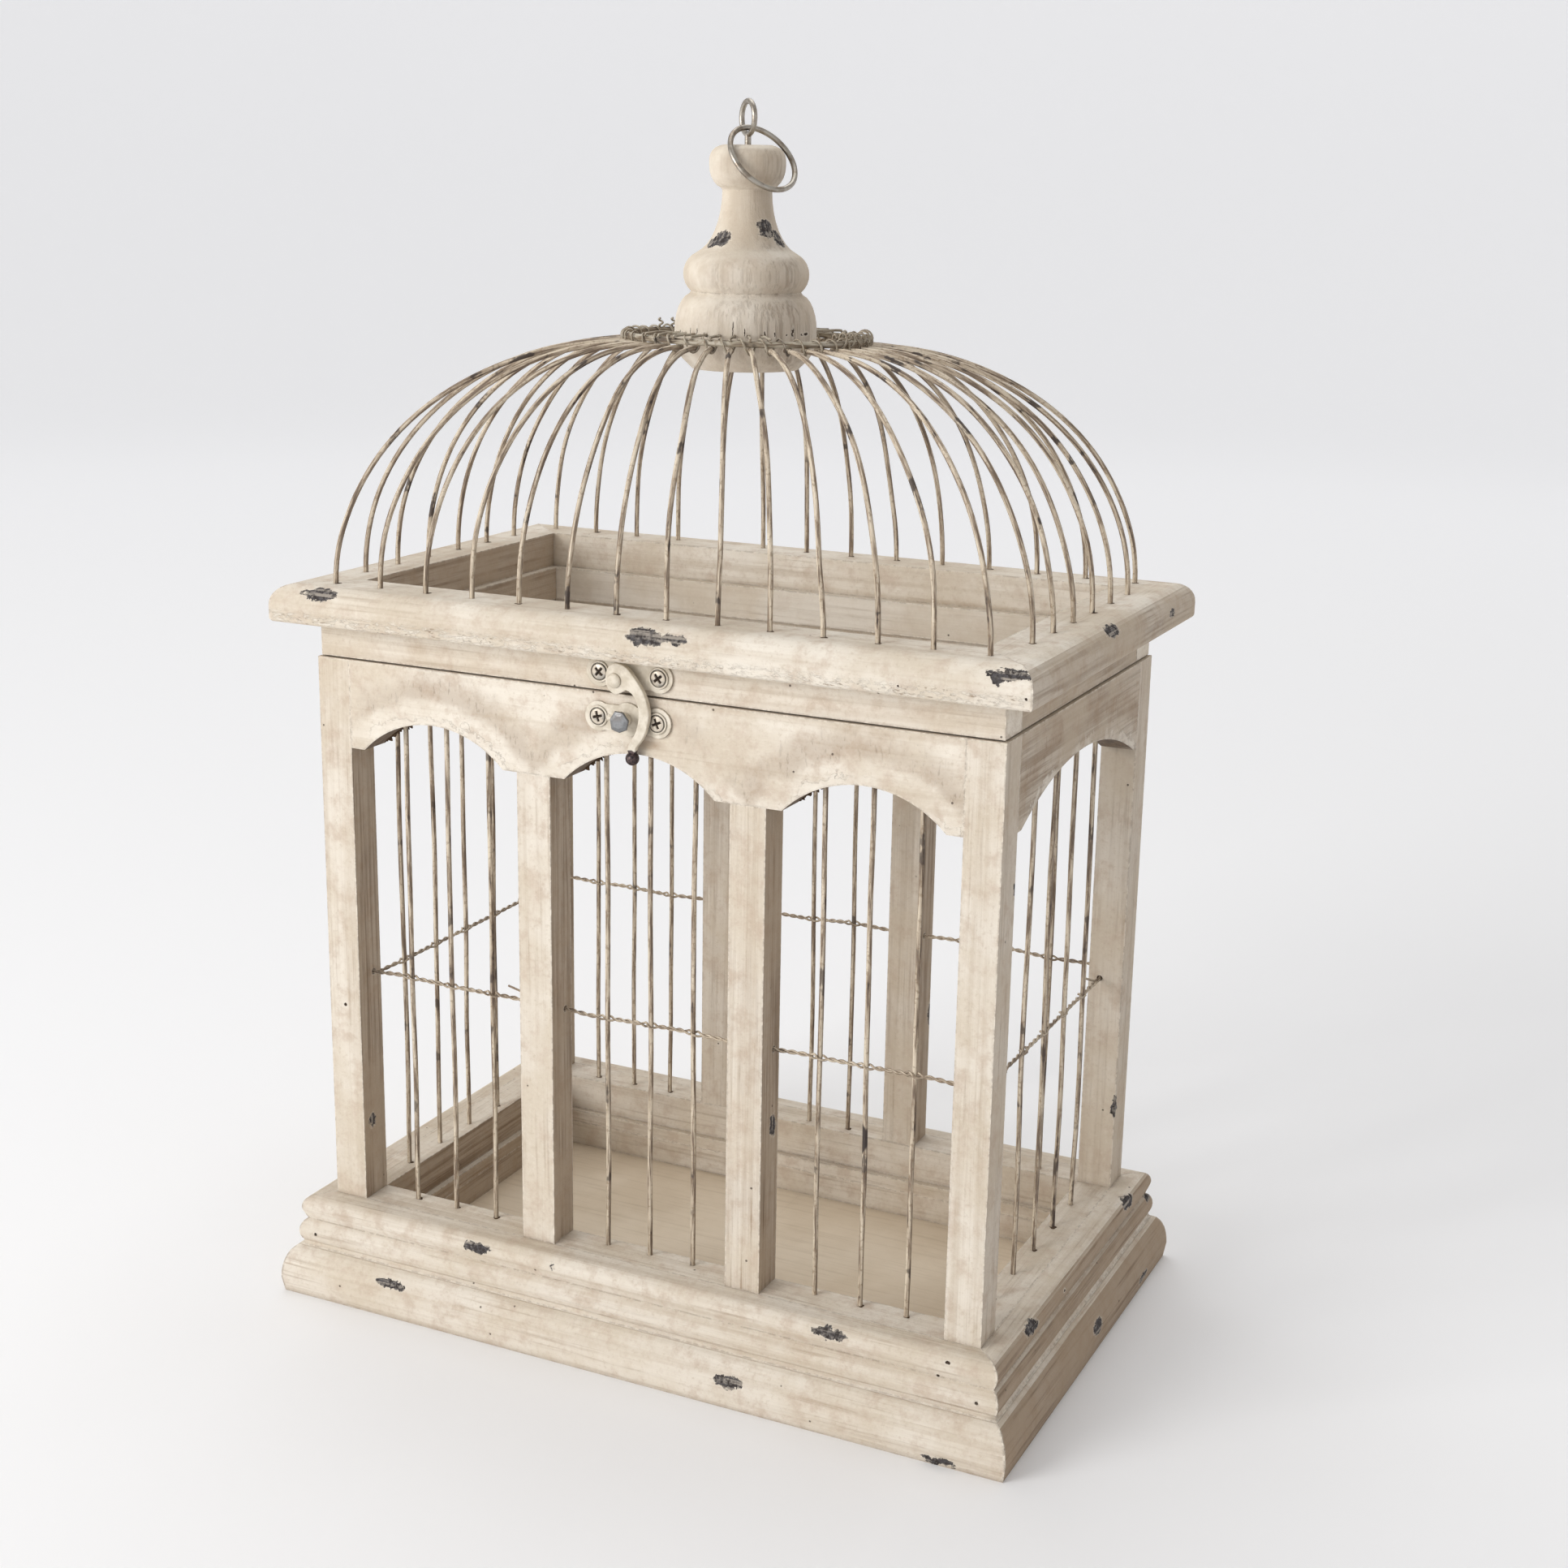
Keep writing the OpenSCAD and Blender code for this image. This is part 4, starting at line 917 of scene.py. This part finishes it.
# Upright wires, slightly bent by hand between the deck and the aprons
uprights = {}
for side in SIDES:
    node = "wires_" + side
    low, high = box_mm(node)
    rng = seeded(node)
    shapes = []
    uprights[side] = clusters(node, "bottom")
    for foot in uprights[side]:
        bend_x, bend_y = wobble(rng, 0.55), wobble(rng, 0.40)
        steps = 26
        path = []
        for i in range(steps + 1):
            z = low.z + (high.z - low.z) * i / steps
            s = min(max((z - DECK) / (apron_low.z - DECK), 0.0), 1.0)
            path.append(Vector((foot.x + bend_x(s), foot.y + bend_y(s), z)))
        shapes.append(tube(path, WIRE_R))
    material = wire_paint(node, 0.7, WIRE_MARKS.get(side, ()))
    build("upright_" + node, shapes, [material], "box", node)


def crown_frame(degrees):
    """A place on the crown's oval, counted from the front, and the direction straight out there."""
    t = math.radians(degrees)
    place = Vector((CROWN_A * math.sin(t), -CROWN_B * math.cos(t), CROWN_Z))
    return place, Vector((CROWN_B * math.sin(t), -CROWN_A * math.cos(t), 0)).normalized()


# Dome wires: quarter ellipses from the lid to the crown
CROWN_STEP = 9.0
WIRE_PAST = 2.5
feet = {}
for index, side in enumerate(SIDES):
    node = "dome_wires_" + side
    rng = seeded(node)
    found = clusters(node, "bottom")
    ahead = Vector({"front": (1, 0, 0), "right": (0, 1, 0), "back": (-1, 0, 0), "left": (0, -1, 0)}[side])
    found.sort(key=ahead.dot)
    feet[side] = found
    shapes = []
    for i, foot in enumerate(found):
        angle = 90 * index + (i - (len(found) - 1) / 2) * CROWN_STEP
        top = crown_frame(angle)[0]
        plan = Vector((top.x - foot.x, top.y - foot.y, 0))
        reach = plan.length
        inward = plan / reach
        across = Vector((-inward.y, inward.x, 0))
        rise = CROWN_Z - (CROWN_WIRE / 2 + WIRE_R + 0.08) - LID_TOP
        sway, lift = wobble(rng, 0.9), wobble(rng, 0.6)
        path = [Vector((foot.x, foot.y, foot.z)), Vector((foot.x, foot.y, LID_TOP - 1))]
        steps = 34
        for k in range(steps + 1):
            a = math.pi / 2 * k / steps
            s = k / steps
            path.append(Vector((foot.x, foot.y, LID_TOP)) + inward * (reach * (1 - math.cos(a)) + lift(s))
                        + Vector((0, 0, rise * math.sin(a))) + across * sway(s))
        path.append(path[-1] + inward * WIRE_PAST)
        shapes.append(tube(path, WIRE_R))
    build("bent_" + node, shapes, [wire_paint(node, 0.9)], "lid", node)

# Oval crown ring, with a slightly uneven line
ring_path = []
ring_rng = wobble(seeded("ring"), 0.35)
for k in range(120):
    p, out = crown_frame(k * 3)
    ring_path.append(p + Vector((0, 0, 1)) * ring_rng(k / 120) * 0.4 + out * ring_rng(k / 120) * 0.3)
build("oval_crown_ring", [tube(ring_path, CROWN_WIRE / 2, 12, closed=True)],
      [wire_paint("crown", 0.5, tones=CROWN_TONES)], "lid", "crown_ring")

# Lashing: one turn of thin wire from the ring down round each dome wire, and a loose coil at the right end
LASH_R = 0.36
lash_shapes = []
lash_rng = seeded("lash")
TURNS, PER_TURN = 40, 18
points = []
wide = CROWN_WIRE / 2 + LASH_R + 0.12
high_side = CROWN_WIRE / 2 + LASH_R + 0.1
low_side = CROWN_WIRE / 2 + 2 * WIRE_R + LASH_R + 0.25
for n in range(TURNS * PER_TURN + 1):
    phase = n / PER_TURN
    degrees = (phase + 0.5) * CROWN_STEP
    p, out = crown_frame(degrees)
    a = 2 * math.pi * (phase + 0.5) + 0.25 * math.sin(phase * 1.7)
    drop = math.cos(a)
    z = high_side * drop if drop > 0 else low_side * drop
    slack = 1 + 0.22 * math.sin(phase * 2.3) ** 2
    points.append(p + out * (wide * slack * math.sin(a)) + Vector((0, 0, z * (slack if drop > 0 else 1))))
lash_shapes.append(tube(points, LASH_R, 8))
COIL_START, COIL_STOP, COIL_LOOPS, COIL_R, COIL_STEPS = 66, 110, 7, 2.5, 16
points = []
spin = lash_rng.uniform(0, 6)
for n in range(COIL_LOOPS * COIL_STEPS + 1):
    s = n / (COIL_LOOPS * COIL_STEPS)
    p, out = crown_frame(COIL_START + (COIL_STOP - COIL_START) * s)
    a = 2 * math.pi * COIL_LOOPS * s + spin
    r = COIL_R * (0.82 + 0.25 * math.sin(5 * s + spin) ** 2)
    points.append(p + out * (r * math.cos(a) - 0.6) + Vector((0, 0, max(r * math.sin(a) + 1.0, -1.2))))
lash_shapes.append(tube(points, LASH_R, 8))
# Twisted ends that stand up at the back left
for degrees in (212, 221, 230, 239, 247):
    p, out = crown_frame(degrees)
    spike, lean = [], lash_rng.uniform(-0.5, 0.5)
    for n in range(15):
        s = n / 14
        a = 9 * s
        spike.append(p + Vector((0, 0, 1.2 + 3.0 * s)) + out * (0.7 * math.cos(a) + lean * s)
                     + Vector((-out.y, out.x, 0)) * 0.7 * math.sin(a))
    lash_shapes.append(tube(spike, LASH_R, 8))
# Stays from the ring into the finial's bowl
for index, side in ((0, "front"), (2, "back")):
    for i in range(3, 11):
        p, out = crown_frame(90 * index + (i - 6.5) * CROWN_STEP)
        flat = Vector((p.x, p.y, 0)).normalized()
        outer, inner = Vector((p.x, p.y, 0)).length + CROWN_WIRE / 2, BOWL_R - 3
        stay = []
        bend = wobble(lash_rng, 0.35)
        for n in range(10):
            s = n / 9
            stay.append(flat * (outer + (inner - outer) * s) + Vector((0, 0, STAY_Z - 0.1 + abs(bend(s)))))
        stay.insert(0, stay[0] + Vector((0, 0, -0.9)) + flat * 0.5)
        lash_shapes.append(tube(stay, 0.48, 8))
build("wire_lashing", lash_shapes, [wire_paint("lashing", 0.8, tones=CROWN_TONES)], "lid", "crown_lashing")

# Tie wires: two strands that pass on both sides of each upright and twist between them
TIE_R = 0.4
tie_low, tie_high = box_mm("tie_wires_front")
side_tie_low, side_tie_high = box_mm("tie_wires_sides")


def tie_pair(stops, origin, direction, across, rng):
    """Two strands along direction, from the first of stops to the last, parting at each inner stop."""
    swing = WIRE_R + TIE_R + 0.06
    shapes = []
    sag = wobble(rng, 0.8)
    for sign in (1, -1):
        path = []
        for n in range(len(stops) - 1):
            steps = 26
            half_turns = 5 if (stops[n + 1] - stops[n]) > 14 else 3
            for k in range(steps + (n == len(stops) - 2)):
                s = k / steps
                at = stops[n] + (stops[n + 1] - stops[n]) * s
                near = max(0.0, 1 - min(s, 1 - s) * 5)
                inner_start, inner_end = n > 0, n < len(stops) - 2
                open_up = near if (s < 0.5 and inner_start) or (s >= 0.5 and inner_end) else 0.0
                spread = TIE_R * 1.06 + (swing - TIE_R * 1.06) * open_up ** 1.5
                a = math.pi * half_turns * (s if n % 2 == 0 else s + 1)
                total = (at - stops[0]) / (stops[-1] - stops[0])
                path.append(origin + direction * at + across * (sign * spread * math.cos(a))
                            + Vector((0, 0, sign * min(spread, 0.75) * math.sin(a) + sag(total))))
        shapes.append(tube(path, TIE_R, 8))
    return shapes


def bay_stops(side):
    """For each bay, the places where the tie wires enter a post or pass an upright."""
    along = (lambda v: v.x) if side in ("front", "back") else (lambda v: v.y)
    at = sorted(along(v) for v in uprights[side])
    if side in ("front", "back"):
        groups = [at[0:3], at[3:6], at[6:9]]
    else:
        groups = [at]
    stops = []
    for group in groups:
        pitch = group[1] - group[0]
        stops.append([group[0] - pitch] + group + [group[-1] + pitch])
    return stops


TIE_SUNK = 2.2
for node, sides, z in (("tie_wires_front", ("front",), (tie_low.z + tie_high.z) / 2),
                       ("tie_wires_back", ("back",), (tie_low.z + tie_high.z) / 2),
                       ("tie_wires_sides", ("left", "right"), (side_tie_low.z + side_tie_high.z) / 2)):
    rng = seeded(node)
    shapes = []
    for side in sides:
        level_at = uprights[side][0]
        for stops in bay_stops(side):
            stops = [stops[0] - TIE_SUNK] + stops[1:-1] + [stops[-1] + TIE_SUNK]
            if side in ("front", "back"):
                origin, direction, across = Vector((0, level_at.y, z)), Vector((1, 0, 0)), Vector((0, 1, 0))
            else:
                origin, direction, across = Vector((level_at.x, 0, z)), Vector((0, 1, 0)), Vector((1, 0, 0))
            shapes += tie_pair(stops, origin, direction, across, rng)
        # A loose tail at one post of each side
        if side in ("front", "back"):
            sign = -1 if side == "front" else 1
            x = post_low.x if side == "front" else -post_low.x
            start = Vector((x - 1.0, level_at.y, z))
            ends = [start, start + Vector((-2.2, -1.2 * sign, 1.2)), start + Vector((-6.0, -2.6 * sign, 2.2)),
                    start + Vector((-10.5, -2.0 * sign, 3.6))]
        else:
            start = Vector((level_at.x, 58.0, z))
            sign = -1 if side == "left" else 1
            ends = [start, start + Vector((-1.6 * sign, -2.2, 1.0)), start + Vector((-2.8 * sign, -5.2, 2.4)),
                    start + Vector((-2.4 * sign, -8.6, 4.6))]
        tail = []
        for n in range(19):
            s = n / 6
            i = min(int(s), 2)
            f = s - i
            f = f * f * (3 - 2 * f) * 0.4 + f * 0.6
            tail.append(ends[i].lerp(ends[i + 1], f))
        shapes.append(tube(tail, TIE_R, 8))
    build("twisted_" + node, shapes, [wire_paint(node, 0.25)], "box", node)

# ---------------------------------------------------------------- small wear details


def ragged_strip(side, arch, rng, steps=46):
    """The skin of torn fibres that hang from the inner edge of one flank of an arch."""
    centre, height, radius = arch
    outward = -1 if side == "front" else 1
    y_back = -outward * apron_high.y
    spring = math.acos((radius - ARCH_RISE) / radius)
    rings = []
    for k in range(steps + 1):
        s = k / steps
        a = spring * (1 - 0.62 * s)
        nx, nz = math.sin(a) * outward, math.cos(a)
        taper = min(1.0, 7 * s, 3.2 * (1 - s))
        depth = (0.25 + 1.5 * rng.random() ** 2) * taper + 0.03
        y_front = y_back + outward * (0.5 + 0.6 * rng.random())
        y_sunk = y_back - outward * 0.05
        rings.append([(centre + nx * r, y, height + nz * r) for y, r in (
            (y_front, radius + 0.25), (y_sunk, radius + 0.25), (y_sunk, radius - depth),
            (y_front, radius - depth * 0.55))])
    return stacked(rings)


torn_wood = Graph("torn_wood")
fibre = torn_wood.noise(torn_wood.mm, 0.9, 4.0, 0.7)
torn_wood.colour = torn_wood.mix(torn_wood.band(fibre, 0.35, 0.65), RAW_WOOD, DEEP_BROWN)
torn_wood.raised(fibre, 0.2)
torn = [torn_wood.finish(torn_wood.band(fibre, 0.3, 0.7, 0.75, 0.95), specular=0.2)]
joint_material = aged_paint("joint_paint", "X", grainy=0.2, brown=0.3)
build("joint_paint", [joint_fill(seeded("joint"))], [joint_material], "box", slot="wood")
for side in ("front", "back"):
    rng = seeded("torn" + side)
    strips = [ragged_strip(side, arch, rng) for arch in arch_circles(side)]
    build("torn_fibres_" + side, strips, torn, "box", slot="wood", smooth="none")


def hole_marks(places, z, rng, chance=0.6):
    """Thin dark rims where some of the drilled holes show beside the wires."""
    shapes = []
    for place in places:
        if rng.random() > chance:
            continue
        shift = Vector((rng.uniform(0.1, 0.7), rng.uniform(-0.7, 0.3), 0))
        size = rng.uniform(0.95, 1.25)
        centre = Vector((place.x, place.y, z + 0.02)) + shift
        low = []
        for a in circle(16):
            r = size * (1 + 0.18 * math.sin(3 * a + place.x))
            low.append(centre + Vector((math.cos(a), math.sin(a), 0)) * r)
        shapes.append(stacked([low, [v + Vector((0, 0, 0.05)) for v in low]]))
    return shapes


hole_rng = seeded("holes")
for name, feet_at, z, body in (("lid_hole_rims", feet, LID_TOP, "lid"),
                               ("deck_hole_rims", uprights, DECK, "box")):
    marks = hole_marks([v for side in SIDES for v in feet_at[side]], z, hole_rng)
    build(name, marks, torn, body, slot="wood")

# ---------------------------------------------------------------- stage and light

FLAT_R, SWEEP_R, STAGE_SPOKES, SWEEP_STEPS = 3.2, 2.4, 96, 16
profile = [(FLAT_R * 0.5, 0.0)]
for k in range(SWEEP_STEPS + 1):
    a = math.pi / 2 * k / SWEEP_STEPS
    profile.append((FLAT_R + SWEEP_R * math.sin(a), SWEEP_R * (1 - math.cos(a))))
rings = [[(r * math.cos(t), r * math.sin(t), z) for t in circle(STAGE_SPOKES)] for r, z in reversed(profile)]
stage_verts, stage_faces, _ = stacked(rings, caps=(False, True))
# The far sweep glows a little, so that it stays as pale as the floor near the lights
stage = Graph("pale_floor")
stage.colour = srgb(243, 243, 244)
stage.shader.inputs["Emission Color"].default_value = srgb(243, 244, 248)
glow = stage.band(stage.vector("LENGTH", stage.mm), 450, 2600, 0, 0.27)
stage.feed(stage.shader.inputs["Emission Strength"], glow)
floor, mesh = link_mesh("floor", stage_verts, stage_faces, [stage.finish(0.8, specular=0.15)])
mesh.polygons.foreach_set("use_smooth", [True] * len(stage_faces))

world = bpy.data.worlds.new("studio")
world.use_nodes = True
world.node_tree.nodes["Background"].inputs[0].default_value = srgb(240, 239, 238)
world.node_tree.nodes["Background"].inputs[1].default_value = 0.54
bpy.context.scene.world = world
bpy.context.scene.view_settings.view_transform = "Standard"


LIT_AT = Vector((0, 0, 0.2))


def area_light(name, at, size, power, colour=(1, 1, 1)):
    """A square light at a place in metres, size metres wide and power watts, aimed at LIT_AT."""
    data = bpy.data.lights.new(name, "AREA")
    data.size = size
    data.energy = power
    data.color = colour
    lamp = bpy.data.objects.new(name, data)
    bpy.context.scene.collection.objects.link(lamp)
    lamp.location = at
    lamp.rotation_euler = (LIT_AT - Vector(at)).to_track_quat("-Z", "Y").to_euler()


area_light("key", (-1.15, -1.75, 0.85), 1.1, 30, (1.0, 0.992, 0.98))
area_light("fill", (1.5, -0.6, 1.1), 1.4, 1.2)
area_light("top", (-0.3, 0.6, 1.9), 1.6, 14)
